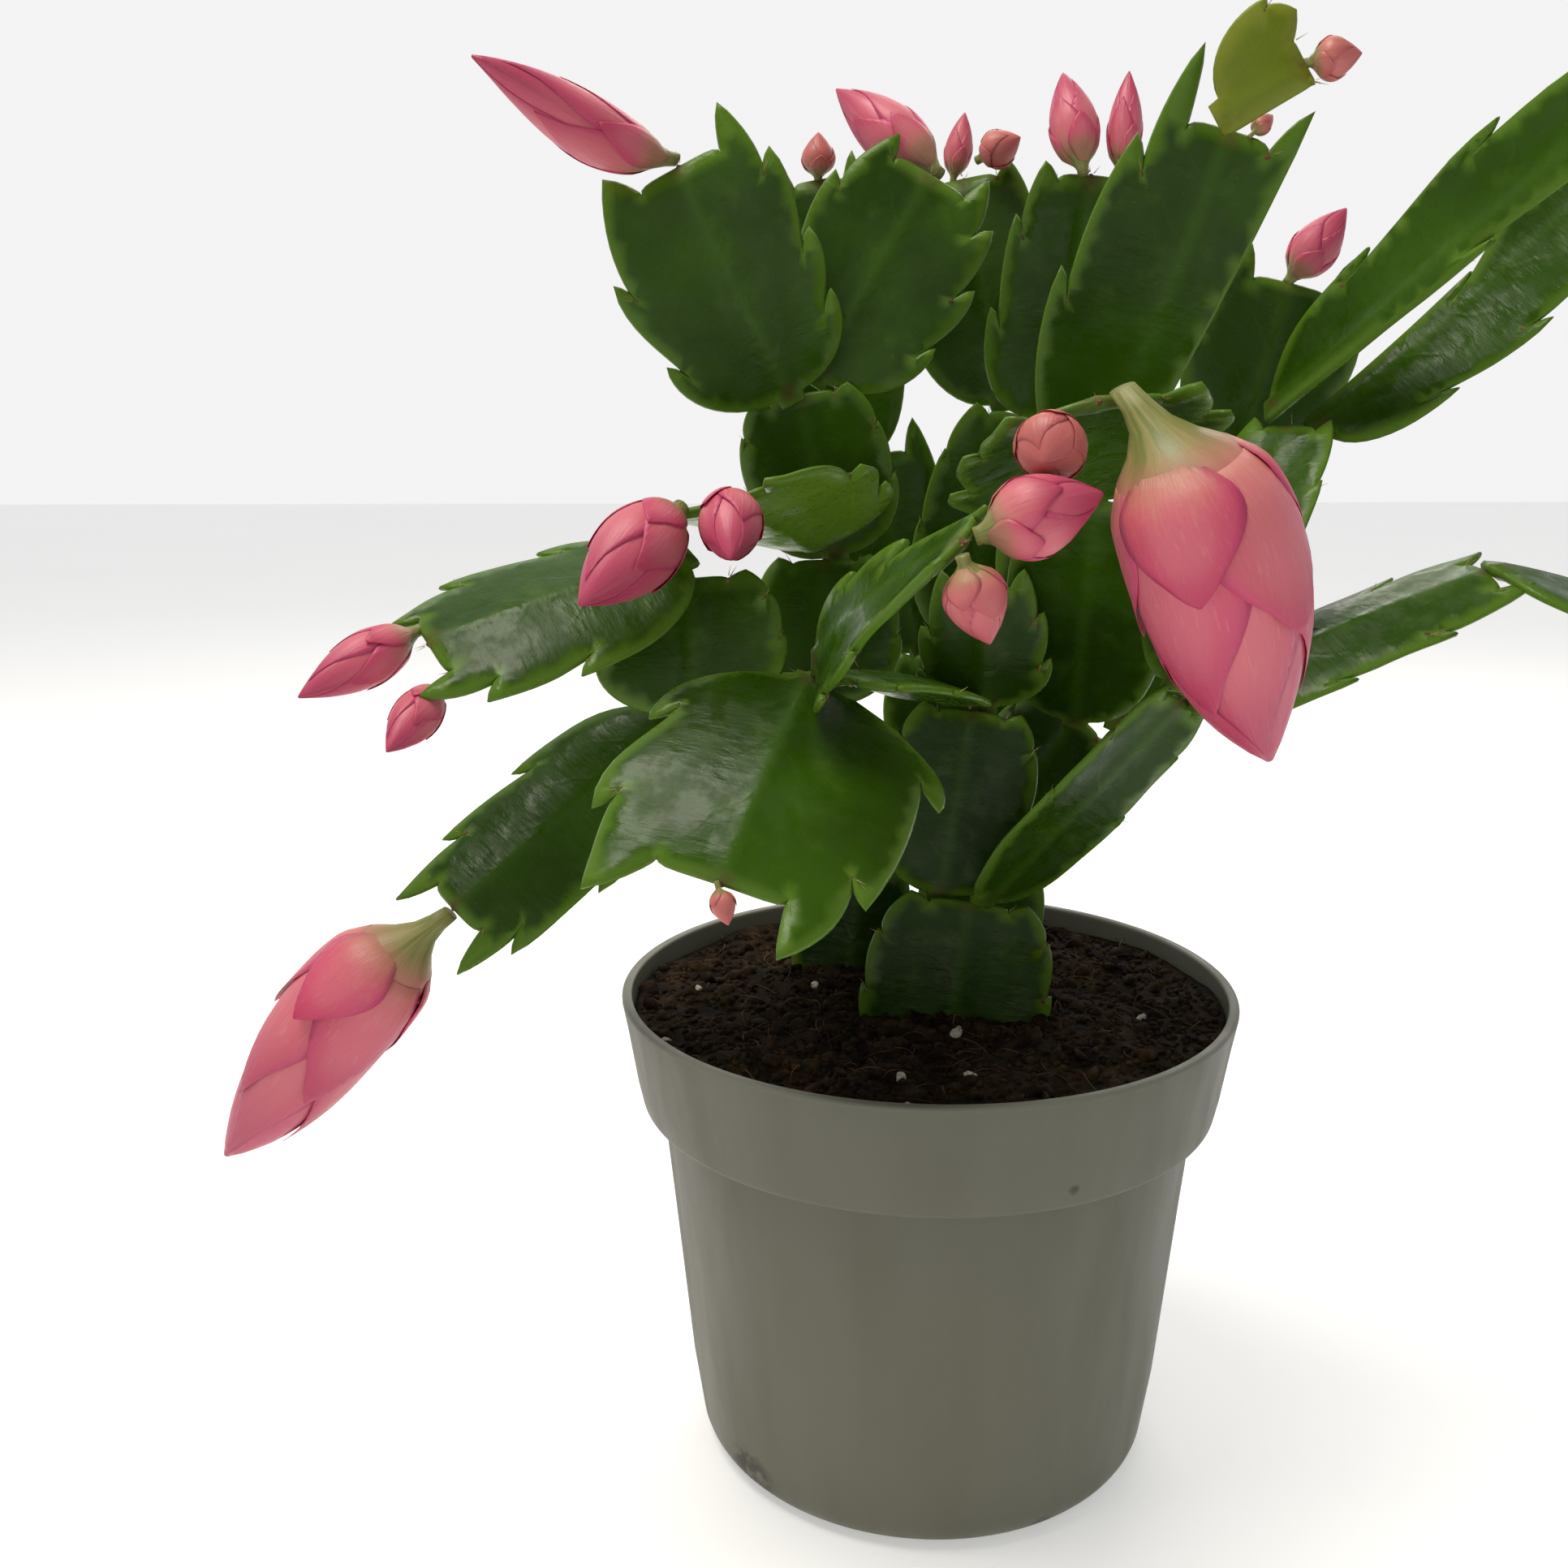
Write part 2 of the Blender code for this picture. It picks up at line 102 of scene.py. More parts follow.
# Growth plan of the stem segments, in growing order. Lengths in millimetres, angles in degrees.
# name: (grows on, across, fore, width, tip, looks, bow, cup, twist, horn)
#   across  where on the parent's tip the neck sits: to the right (+) or left (-) of its middle,
#           for someone who looks at the parent's face with its tip uppermost
#   fore    how far the neck stands in front of the parent's face (+) or behind it (-)
#   tip     where the middle of the segment's end is: x, y, z
#   looks   which way the face looks, as (bearing from +X towards +Y, slope above level)
#   bow     arch of the midrib towards the face; cup: lift of the margins towards the face
#   horn    how far the two end teeth reach past the tip
SEGMENTS = {
    # the cutting at the front, with the arm that reaches forward from its middle
    "front_stem_base": (None, 0, 0, 27, (6, -5, 85), FRONT, 0, 0.5, 0, 0.5),
    "front_stem_middle": ("front_stem_base", -4, -2, 22, (6, -1, 112), FRONT, 0, 1, 0, 0.5),
    "front_stem_top": ("front_stem_middle", 1.5, -2, 18, (7, -5, 130), FRONT, 1, 1.5, 0, 2.5),
    "front_arm_segment": ("front_stem_middle", -1.5, 2.2, 18, (-13, -34, 122), UP, 1, -1, 0, 0.5),
    "front_broad_segment": ("front_arm_segment", 1, -1, 36, (-22, -62, 104), (-70, 55), 2.5, -3, 0, 7),
    "front_twisted_segment": ("front_arm_segment", -1, 2, 24, (3, -60, 140), (-150, 35), 1, 2, 35, 3),
    # its long branch to the right
    "right_branch_base": ("front_stem_base", 2, 2, 16, (33, -12, 116), (-60, -30), 0, 1.5, 0, 0.9),
    "right_arching_segment": ("right_branch_base", 2.5, 0.8, 18, (73, -6, 132), (-130, 60), 1, -1, 0, 2),
    "right_end_segment": ("right_arching_segment", 0, 0, 25, (112, 0, 118), (-90, 80), 2, -2, 0, 5),
    "right_branch_riser": ("right_branch_base", -1.5, -1.2, 18, (50, 9, 151), (-125, 35), 0, 1.5, 0, 0.9),
    "right_upper_segment": ("right_branch_riser", -3, 1.2, 18, (78, -22, 187), (-155, 10), 0, 3, -30, 4),
    "right_lower_segment": ("right_branch_riser", 3, -1.6, 22, (86, 0, 183), (-125, 20), -2, 3, 0, 4),
    # the cutting at the left
    "left_stem_base": (None, 0, 0, 18, (-10, 14, 85), FRONT, 0, 0.5, 0, 0.5),
    "left_stem_lower": ("left_stem_base", 0, 0, 18, (-17, 6, 109), FRONT, 0, 1, 0, 0.5),
    "left_stem_middle": ("left_stem_lower", 2.5, -1.5, 22, (-16, 14, 132), FRONT, 0, 1, 0, 0.5),
    "left_stem_top": ("left_stem_middle", 1.5, -1.6, 22, (-19, 9, 156), FRONT, 0, 1, 0, 0.5),
    "left_crown_segment": ("left_stem_top", -1.5, 1.6, 29, (-35, 2, 186), FRONT, 1, 2, 0, 5),
    "middle_crown_segment": ("left_stem_top", 2.5, -2, 27, (-1, 14, 186), FRONT, 0.5, 1.5, 0, 4),
    "left_level_segment": ("left_stem_middle", -1.5, 1.8, 33, (-27, -28, 142), (180, 76), 1.5, 2.5, 0, 3.5),
    "left_arm_segment": ("left_stem_lower", -2.5, 1.8, 17, (-32, -16, 113), UP, 0, -1, 0, 0.5),
    "left_drooping_segment": ("left_arm_segment", 3, 0, 22, (-61, -32, 91), (-90, 40), -0.5, -2, 0, 4),
    "left_riser_segment": ("left_arm_segment", -3, 1.5, 25, (-32, -16, 132), FRONT, 0, 2, 0, 0.5),
    "left_outer_segment": ("left_riser_segment", 0, 3.2, 26, (-61, -36, 126), (-75, 60), 0.5, -2.5, 0, 3.5),
    # the cutting at the back
    "back_stem_base": (None, 0, 0, 20, (9, 26, 88), FRONT, 0, 0.5, 0, 0.5),
    "back_stem_lower": ("back_stem_base", -3, -1.2, 22, (2, 32, 116), FRONT, 0, 1, 0, 0.5),
    "back_left_segment": ("back_stem_lower", -3.5, -2, 22, (-9, 31, 147), FRONT, 0, 0.5, 0, 4),
    "back_right_segment": ("back_stem_lower", 3, 1.5, 22, (13, 26, 153), FRONT, 0, 1.5, 0, 0.5),
    "back_crown_left": ("back_left_segment", -3, 0, 18, (-18, 30, 188), FRONT, 1, 1.5, 0, 3.5),
    "back_crown_right": ("back_right_segment", 3, 1.6, 22, (21, 10, 185), (-80, 0), 1, 2, 0, 2),
    "back_crown_middle": ("back_right_segment", -3, -1.6, 23, (4, 32, 188), FRONT, 1, 1.5, 0, 1.2),
    # the middle of the plant, which grows on the cutting at the back
    "centre_stem_base": ("back_stem_base", 3, 1.5, 20, (22, 12, 109), (-110, 0), 0, 1, 0, 0.5),
    "centre_left_segment": ("centre_stem_base", -4, -0.5, 18, (16, 14, 136), FRONT, 0, 1, 0, 2),
    "centre_stem_middle": ("centre_stem_base", 0, 1.8, 22, (21, -12, 142), (-100, 0), 0, 1.5, 0, 0.5),
    "tall_crown_segment": ("centre_stem_middle", 0, -1.6, 24, (34, -22, 185), (-95, 0), 1, 2, 0, 6),
    "young_segment": ("tall_crown_segment", -1, 3.6, 14, (41, -27, 191), (-95, 0), 0.5, 1, 0, 2),
    "flower_arm_segment": ("centre_stem_middle", -2, 1.8, 32, (17, -52, 154), (180, 80), 2, -3, 0, 4),
    "right_stem_segment": ("centre_stem_base", 5, -4, 20, (42, 19, 140), FRONT, 0, 1, 0, 0.5),
    "right_crown_segment": ("right_stem_segment", 0, 0, 26, (50, 17, 171), (-80, 0), 0.5, 1.5, 0, 3),
}

# Buds: (grows on, across, fore, thickness, tip, sway, arch, kind). Sway and arch bend the bud
# level and upwards out of a straight line. A flower bud has a bare green tube below its petals;
# a plain bud is petals all the way down.
BUDS = {
    "bud_left_crown": ("left_crown_segment", -0.5, 0, 8.5, (-58, -16, 197), 0, -1.5, "bud"),
    "bud_back_crown": ("back_crown_left", 0, 0, 5.4, (-18, 30, 195), 0, 0, "bud"),
    "bud_middle_crown": ("middle_crown_segment", 0, -3.5, 9, (-15, 25, 200), 0, 0, "bud"),
    "bud_back_small": ("back_crown_middle", -1.5, 0, 4.4, (4, 34, 198), 0, 0, "bud"),
    "bud_back_leaning": ("back_crown_middle", 3, 2.6, 6, (12, 26, 193), 0, 0, "bud"),
    "bud_back_right": ("back_crown_right", -2, 2, 7, (17, 13, 199), 0, 0, "bud"),
    "bud_back_right_small": ("back_crown_right", 4, 0, 5, (26, 13, 199), 0, 0, "bud"),
    "bud_young_segment": ("young_segment", 0, 0, 5, (47, -28, 192), 0, 0, "bud"),
    "bud_tall_tiny": ("tall_crown_segment", 2.6, 0, 2.4, (39, -21, 187), 0, 0, "bud"),
    "bud_right_crown": ("right_crown_segment", 0, 0, 7, (57, 16, 181), 0, 0, "bud"),
    "bud_flower_arm": ("flower_arm_segment", 5, -2.5, 7.8, (11, -60, 148), 0, 0, "bud"),
    "bud_twisted_pointed": ("front_twisted_segment", -1.5, -1, 9, (17, -60, 145), 0, 0, "bud"),
    "bud_twisted_hanging": ("front_twisted_segment", 3, -1.5, 6.8, (6, -62, 130), 0, 0, "bud"),
    "bud_level_long": ("left_level_segment", 4, 0, 10.5, (-40, -46, 132), 0, 0, "bud"),
    "bud_level_round": ("left_level_segment", -3, 0, 8, (-23, -42, 137), 0, 0, "bud"),
    "bud_outer_upper": ("left_outer_segment", 3.5, 0, 7, (-74, -46, 121), 0, 0, "bud"),
    "bud_outer_lower": ("left_outer_segment", -3, -4.5, 6, (-63, -48, 115), 0, 0, "bud"),
    "large_bud_right": ("flower_arm_segment", -2.5, 0, 21, (38, -46, 115), -5, 0, "flower"),
    "large_bud_left": ("left_drooping_segment", 0, 0, 17.5, (-94, -34, 56), 0, 1.5, "flower"),
    "bud_stub_front": ("front_broad_segment", 0, 0, 3, (-21, -64, 100), 0, 0, "bud"),
}

# Teeth on the two margins, left and right of the face: share of the length, share of the half
# width. The last one on each side is the horn beside the tip. A third number below 1 flattens
# the lobe under the tooth.
TEETH = {
    "left_crown_segment": (((0.33, 0.93), (0.71, 1.03), (1.09, 0.68)),
                           ((0.31, 0.80), (0.56, 0.86), (0.90, 0.84), (1.14, 0.58))),
    "middle_crown_segment": (((0.42, 0.90), (0.80, 0.88), (1.08, 0.50)),
                             ((0.36, 0.95), (0.66, 1.00), (0.92, 0.85), (1.10, 0.55))),
    "tall_crown_segment": (((0.56, 1.12), (0.93, 0.84), (1.18, 0.52)),
                           ((1.10, 0.68, 0.35),)),
    "young_segment": (((0.90, 1.18), (1.15, 0.80)),
                      ((0.97, 0.30, 0.3),)),
    "front_broad_segment": (((0.37, 1.10), (0.90, 0.86), (1.20, 0.47)),
                            ((0.38, 0.86), (0.84, 0.94), (1.16, 0.78))),
    "left_level_segment": (((0.34, 0.95), (0.68, 0.98), (1.07, 0.50)),
                           ((0.50, 0.56), (0.82, 0.62), (1.10, 0.42))),
    "front_twisted_segment": (((0.30, 0.56), (0.62, 0.52), (1.05, 0.36)),
                              ((0.26, 0.80), (0.55, 0.72), (1.05, 0.40))),
    "left_drooping_segment": (((0.60, 1.00), (0.96, 0.86), (1.14, 0.62)),
                              ((0.52, 0.98), (0.86, 0.90), (1.12, 0.66))),
    "left_outer_segment": (((0.58, 0.95), (0.92, 0.86), (1.12, 0.55)),
                           ((0.44, 0.95), (0.84, 0.92), (1.08, 0.52))),
    "right_upper_segment": (((0.40, 0.95), (0.80, 0.95), (1.12, 0.50)),
                            ((0.66, 0.34, 0.5), (1.10, 0.38))),
    "right_lower_segment": (((0.58, 0.30, 0.3), (0.92, 0.55), (1.10, 0.40)),
                            ((0.34, 0.92), (0.64, 1.00), (0.92, 0.80), (1.12, 0.50))),
    "right_crown_segment": (((0.42, 0.95), (0.80, 0.95), (1.12, 0.55)),
                            ((0.50, 0.96), (0.84, 0.92), (1.16, 0.58))),
}
# Segments that have no row above: places of their teeth, as shares of the length. A segment is
# old, with shallow notches and no real horns, when its horn is shorter than OLD_HORN.
YOUNG_TEETH = (0.45, 0.80)
OLD_TEETH = (0.48, 0.80)
OLD_HORN = 1.0
# spacing of the points inside a segment, and width of the ring of points along its margin
GRID = 1.6
MARGIN = 0.55

# ---- colours ----------------------------------------------------------------------------------
# deep, fresh, margin and rib colour of the two green skins
GREENS = {
    "segment_green": ((0.012, 0.034, 0.001), (0.030, 0.080, 0.002),
                      (0.105, 0.20, 0.018), (0.048, 0.115, 0.008)),
    "young_green": ((0.076, 0.114, 0.005), (0.118, 0.158, 0.008),
                    (0.19, 0.21, 0.025), (0.15, 0.19, 0.022)),
}
# painted light: a bright green painted on the underside of the segments below, standing in for light
# shining through them
BACKLIT_GREEN = (0.125, 0.24, 0.015)
BACKLIT_SEGMENTS = ("left_level_segment",)
# painted shade: a dark green painted round the middle of the plant's base, under the crown, and the place
# that it is centred on
CORE_SHADE_GREEN = (0.005, 0.014, 0.001)
SHADED_CORE_MIDDLE = (5.0, 0.0, 80.0)
CORK = (0.075, 0.036, 0.016)
PEACH = (0.55, 0.20, 0.15)
PINK = (0.53, 0.070, 0.130)
MAGENTA = (0.46, 0.030, 0.125)
PETAL_HEART = (0.62, 0.26, 0.27)
PETAL_STREAK = (0.66, 0.32, 0.29)
# dark magenta of the scale tips: partly their real deeper colour, partly painted shade
PETAL_TIP_AND_SHADE = (0.36, 0.032, 0.085)
UNRIPE = (0.40, 0.155, 0.080)
TUBE_GREEN = (0.13, 0.16, 0.035)
TUBE_OLIVE = (0.24, 0.22, 0.07)
POT_FOOT_GREY = (0.116, 0.114, 0.080)
# the darker grey towards the rim is painted shade
POT_RIM_SHADE_GREY = (0.096, 0.095, 0.070)
POT_CLOUD = (0.108, 0.107, 0.078)
POT_FLECK = (0.07, 0.07, 0.055)
# painted highlight on the top of the lip
POT_LIP_HIGHLIGHT = (0.24, 0.24, 0.20)
SOIL_SMUDGE = (0.028, 0.020, 0.012)
WHITE = (1.0, 1.0, 1.0)
# where soil sticks to the pot: x, y, z and size of each smudge
SMUDGES = ((-24, -24, 3.5, 6.0), (13, -30, 4, 1.6), (17, -28, 2, 2.2), (19, -38.5, 57.7, 1.0))


def direction(bearing, climb):
    turn = math.radians(bearing)
    slope = math.radians(climb)
    return Vector((math.cos(slope) * math.cos(turn), math.cos(slope) * math.sin(turn),
                   math.sin(slope)))


def smooth_step(low, high, value):
    share = min(max((value - low) / (high - low), 0.0), 1.0)
    return share * share * (3.0 - 2.0 * share)


# ---- node trees -------------------------------------------------------------------------------
class Nodes:
    """A node tree under construction."""

    def __init__(self, tree):
        self.tree = tree

    def feed(self, socket, value):
        if hasattr(value, "is_output"):
            self.tree.links.new(value, socket)
        elif isinstance(value, tuple) and socket.type == "RGBA":
            socket.default_value = (*value, 1.0)
        else:
            socket.default_value = value

    def node(self, kind, settings=None, **inputs):
        made = self.tree.nodes.new(kind)
        for key, value in (settings or {}).items():
            setattr(made, key, value)
        for key, value in inputs.items():
            self.feed(made.inputs[key.replace("_", " ")], value)
        return made

    def math(self, operation, *values):
        made = self.node("ShaderNodeMath", {"operation": operation})
        for socket, value in zip(made.inputs, values):
            self.feed(socket, value)
        return made.outputs[0]

    def times(self, first, second):
        return self.math("MULTIPLY", first, second)


class Finish(Nodes):
    """A material under construction; coats are laid over its first colour."""

    def __init__(self, name, roughness, **fixed):
        self.material = bpy.data.materials.new(name)
        self.material.use_nodes = True
        super().__init__(self.material.node_tree)
        self.shader = self.tree.nodes["Principled BSDF"]
        for socket, value in dict(fixed, Roughness=roughness).items():
            self.feed(self.shader.inputs[socket.replace("_", " ")], value)

    def place(self):
        return self.node("ShaderNodeTexCoord").outputs["Object"]

    def attribute(self, name, output="Fac"):
        return self.node("ShaderNodeAttribute", {"attribute_name": name}).outputs[output]

    def ramp(self, value, low, high, first=0.0, last=1.0):
        made = self.node("ShaderNodeMapRange", {"interpolation_type": "SMOOTHSTEP"})
        for socket, item in zip(made.inputs, (value, low, high, first, last)):
            self.feed(socket, item)
        return made.outputs[0]

    def noise(self, scale, detail=3.0, rough=0.55, at=None, stretch=None):
        where = self.place() if at is None else at
        if stretch:
            where = self.node("ShaderNodeMapping", Scale=stretch, Vector=where).outputs[0]
        return self.node("ShaderNodeTexNoise", Scale=scale, Detail=detail, Roughness=rough,
                         Vector=where).outputs["Fac"]

    def cells(self, scale):
        made = self.node("ShaderNodeTexVoronoi", Scale=scale, Vector=self.place())
        return made.outputs["Distance"]

    def distance(self, place):
        """Distance in metres from a place given in millimetres."""
        made = self.node("ShaderNodeVectorMath", {"operation": "DISTANCE"})
        self.feed(made.inputs[0], self.place())
        self.feed(made.inputs[1], Vector(place) * MM)
        return made.outputs["Value"]

    def mix(self, share, first, second):
        made = self.node("ShaderNodeMix", {"data_type": "RGBA"})
        for index, item in ((0, share), (6, first), (7, second)):
            self.feed(made.inputs[index], item)
        return made.outputs[2]

    def coat(self, share, tint):
        self.colour = self.mix(share, self.colour, tint)

    def split(self, vector):
        return self.node("ShaderNodeSeparateXYZ", Vector=vector).outputs

    def bump(self, height, depth, strength, under=None):
        made = self.node("ShaderNodeBump", Strength=strength, Distance=depth * MM, Height=height)
        if under is not None:
            self.feed(made.inputs["Normal"], under)
        return made.outputs[0]

    def finish(self, **sockets):
        for socket, value in dict(sockets, Base_Color=self.colour).items():
            self.feed(self.shader.inputs[socket.replace("_", " ")], value)
        return self.material


# ---- finishes ---------------------------------------------------------------------------------
def segment_finish(name, deep, fresh, margin, rib):
    """Waxy green skin: softly mottled and wrinkled, a thin paler margin and a faint midrib."""
    skin = Finish(name, 0.30, Specular_IOR_Level=0.15)
    leaf = skin.attribute("leaf", "Vector")
    x, y, side = skin.split(leaf)
    out = skin.math("ABSOLUTE", x)
    skin.colour = skin.mix(skin.ramp(skin.noise(38.0), 0.34, 0.7), deep, fresh)
    # painted light: the underside of the segments in BACKLIT_SEGMENTS is painted bright green, for light
    # shining through the blade
    under = skin.ramp(side, -0.5, 0.0, 1.0, 0.0)
    skin.coat(skin.times(under, skin.attribute("painted_backlight")), BACKLIT_GREEN)
    # painted shade: the green darkens towards the middle of the plant's base, under the crown
    near = skin.distance(SHADED_CORE_MIDDLE)
    skin.coat(skin.ramp(near, 25.0 * MM, 52.0 * MM, 0.6, 0.0), CORE_SHADE_GREEN)
    skin.coat(skin.times(skin.attribute("tone"), 0.35), fresh)
    skin.coat(skin.ramp(skin.noise(240.0, 4.0), 0.5, 0.85, 0.0, 0.18), margin)
    slope = skin.math("SUBTRACT", y, skin.times(out, 1.1))
    bent = skin.math("ADD", slope, skin.times(skin.noise(80.0), 9.0))
    vein = skin.ramp(skin.math("PINGPONG", bent, 4.3), 0.0, 0.8, 1.0, 0.0)
    vein = skin.times(vein, skin.ramp(out, 1.0, 8.0, 0.9, 0.0))
    spine = skin.ramp(out, 0.0, 1.6, 1.0, 0.0)
    skin.coat(skin.times(spine, 0.28), rib)
    skin.coat(skin.times(vein, 0.07), rib)
    skin.coat(skin.ramp(skin.attribute("rim"), 0.0, 1.0, 0.62, 0.0), margin)
    skin.coat(skin.ramp(skin.cells(600.0), 0.0, 0.10, 0.30, 0.0), margin)
    cork = skin.times(skin.attribute("cork"), skin.ramp(skin.noise(500.0), 0.3, 0.6))
    skin.coat(skin.times(cork, 0.85), CORK)
    wrinkle = skin.noise(0.85, 3.0, 0.6, at=leaf, stretch=(0.28, 1.0, 1.0))
    wax = skin.ramp(skin.noise(0.30, 3.0, 0.6, at=leaf), 0.35, 0.65, 0.20, 0.42)
    pores = skin.bump(skin.noise(1600.0, 2.0), 0.03, 0.5)
    folds = skin.bump(wrinkle, 0.11, 0.8, pores)
    swells = skin.bump(skin.noise(0.16, 2.0, 0.5, at=leaf), 0.45, 0.7, folds)
    raised = skin.math("ADD", skin.times(vein, 0.35), spine)
    return skin.finish(Roughness=skin.math("ADD", wax, skin.times(cork, 0.3)),
                       Normal=skin.bump(raised, 0.10, 0.6, swells))


def petal_finish():
    """Bud scales: peach foot, pink above, a pale heart, magenta margins, and dark tips that are partly
    deeper magenta and partly painted shade.
    """
    skin = Finish("bud_petal", 0.42, Subsurface_Weight=0.12, Subsurface_Scale=0.0012,
                  Specular_IOR_Level=0.35)
    edge, up, tone = skin.split(skin.attribute("petal", "Vector"))
    streak = skin.noise(1.0, 4.0, 0.6, at=skin.attribute("streak", "Vector"))
    blush = skin.math("ADD", up, skin.times(skin.math("SUBTRACT", streak, 0.5), 0.7))
    skin.colour = skin.mix(skin.ramp(blush, -0.15, 0.42), PEACH, PINK)
    skin.coat(skin.ramp(blush, 0.55, 1.05, 0.0, 0.85), MAGENTA)
    skin.coat(skin.ramp(tone, 0.2, 1.0, 0.0, 0.20), PEACH)
    skin.coat(skin.ramp(edge, 0.0, 0.30, 0.20, 0.0), PETAL_HEART)
    skin.coat(skin.ramp(streak, 0.55, 0.75, 0.0, 0.28), PETAL_STREAK)
    skin.coat(skin.ramp(edge, 0.30, 0.95, 0.0, 0.78), MAGENTA)
    # dark tips: partly the deeper magenta of the real tips and partly painted shade on the bud's lower part
    skin.coat(skin.ramp(up, 0.42, 0.92, 0.0, 0.75), PETAL_TIP_AND_SHADE)
    skin.coat(skin.attribute("unripe"), UNRIPE)
    skin.coat(skin.attribute("bare"),
              skin.mix(skin.ramp(streak, 0.35, 0.65), TUBE_GREEN, TUBE_OLIVE))
    relief = skin.bump(streak, 0.14, 0.7)
    return skin.finish(Roughness=skin.ramp(streak, 0.3, 0.7, 0.34, 0.52),
                       Normal=skin.bump(skin.noise(1800.0, 2.0), 0.03, 0.5, relief))


def pot_finish():
    """Moulded recycled plastic: grey-green, fine grain, faint scuffs and smudges of soil."""
    skin = Finish("pot_plastic", 0.5, Specular_IOR_Level=0.38)
    height = skin.split(skin.place())["Z"]
    # painted shade: the grey darkens from the foot up to the rim
    skin.colour = skin.mix(skin.ramp(height, 0.0, 0.071), POT_FOOT_GREY, POT_RIM_SHADE_GREY)
    skin.coat(skin.ramp(skin.noise(28.0, 4.0), 0.3, 0.7, 0.0, 0.4), POT_CLOUD)
    skin.coat(skin.ramp(skin.cells(380.0), 0.0, 0.08, 0.45, 0.0), POT_FLECK)
    # painted highlight: the upward-facing top of the lip is painted paler
    skin.coat(skin.ramp(height, 0.0704, 0.0711, 0.0, 0.45), POT_LIP_HIGHLIGHT)
    patch = skin.ramp(skin.noise(420.0, 5.0, 0.65), 0.34, 0.52)
    for east, north, high, size in SMUDGES:
        near = skin.ramp(skin.distance((east, north, high)), 0.45 * size * MM, size * MM, 1.0, 0.0)
        skin.coat(skin.times(skin.times(near, patch), 0.85), SOIL_SMUDGE)
    scuff = skin.noise(110.0, 4.0, 0.6, stretch=(1.0, 1.0, 0.15))
    grain = skin.bump(skin.noise(2600.0, 2.0), 0.04, 0.55)
    return skin.finish(Roughness=skin.ramp(scuff, 0.35, 0.7, 0.44, 0.62),
                       Normal=skin.bump(skin.noise(60.0, 2.0), 0.20, 0.5, grain))


def matt_finish(name, deep, light, roughness=0.9):
    """Coarse, dull and mottled: peat, its fibres, and the wool and bristles of the notches."""
    skin = Finish(name, roughness, Specular_IOR_Level=0.08)
    skin.colour = skin.mix(skin.ramp(skin.noise(330.0, 5.0, 0.65), 0.36, 0.68), deep, light)
    skin.coat(skin.ramp(skin.noise(60.0), 0.4, 0.7, 0.0, 0.5), deep)
    dull = skin.ramp(skin.noise(500.0, 2.0), 0.3, 0.7, roughness - 0.12, min(roughness + 0.08, 1.0))
    return skin.finish(Roughness=dull, Normal=skin.bump(skin.noise(900.0, 5.0, 0.7), 0.45, 1.0))


def perlite_finish():
    skin = Finish("perlite", 0.85, Specular_IOR_Level=0.25)
    pits = skin.cells(1700.0)
    # painted shade: the grains are painted darker in their pits
    skin.colour = skin.mix(skin.ramp(pits, 0.0, 0.45), (0.16, 0.14, 0.11), (0.42, 0.39, 0.33))
    return skin.finish(Roughness=skin.ramp(pits, 0.0, 0.5, 0.95, 0.75),
                       Normal=skin.bump(pits, 0.25, 0.9))


def floor_finish():
    skin = Finish("pale_floor", 0.7, Emission_Strength=0.36, Emission_Color=WHITE)
    skin.colour = skin.mix(skin.ramp(skin.noise(4.0, 2.0), 0.2, 0.8),
                           (0.86, 0.86, 0.86), (0.90, 0.90, 0.89))
    return skin.finish()


# ---- mesh tools -------------------------------------------------------------------------------
def put(name, data):
    thing = bpy.data.objects.new(name, data)
    bpy.context.scene.collection.objects.link(thing)
    return thing


def new_mesh(name, verts, edges=(), faces=()):
    """A mesh from places in millimetres."""
    mesh = bpy.data.meshes.new(name)
    mesh.from_pydata([tuple(Vector(vert) * MM) for vert in verts], edges, faces)
    return mesh


def turn_outwards(mesh):
    body = bmesh.new()
    body.from_mesh(mesh)
    bmesh.ops.recalc_face_normals(body, faces=body.faces)
    body.to_mesh(mesh)
    body.free()


def mark_points(mesh, mark, values):
    """A named value or vector at every point of the mesh."""
    if isinstance(values[0], (tuple, Vector)):
        layer = mesh.attributes.new(mark, "FLOAT_VECTOR", "POINT")
        layer.data.foreach_set("vector", [item for value in values for item in value])
    else:
        layer = mesh.attributes.new(mark, "FLOAT", "POINT")
        layer.data.foreach_set("value", values)


def add_piece(name, verts, faces, material, marks=None):
    """A smooth closed piece at the origin, with its named point marks."""
    mesh = new_mesh(name, verts, faces=faces)
    turn_outwards(mesh)
    mesh.shade_smooth()
    for mark, values in (marks or {}).items():
        mark_points(mesh, mark, values)
    mesh.materials.append(material)
    return put(name, mesh)


def settle(thing):
    """Turn what the modifiers make into the object's own plain mesh, and drop them."""
    bpy.context.view_layer.update()
    graph = bpy.context.evaluated_depsgraph_get()
    made = bpy.data.meshes.new_from_object(thing.evaluated_get(graph), depsgraph=graph)
    thing.modifiers.clear()
    old = thing.data
    thing.data = made
    made.name = thing.name
    bpy.data.meshes.remove(old)


def hand_over(thing, slot, *nodes):
    """Let the finished piece ride with the plant and stand for its solids."""
    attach(thing, "root")
    if nodes:
        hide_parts(*nodes)


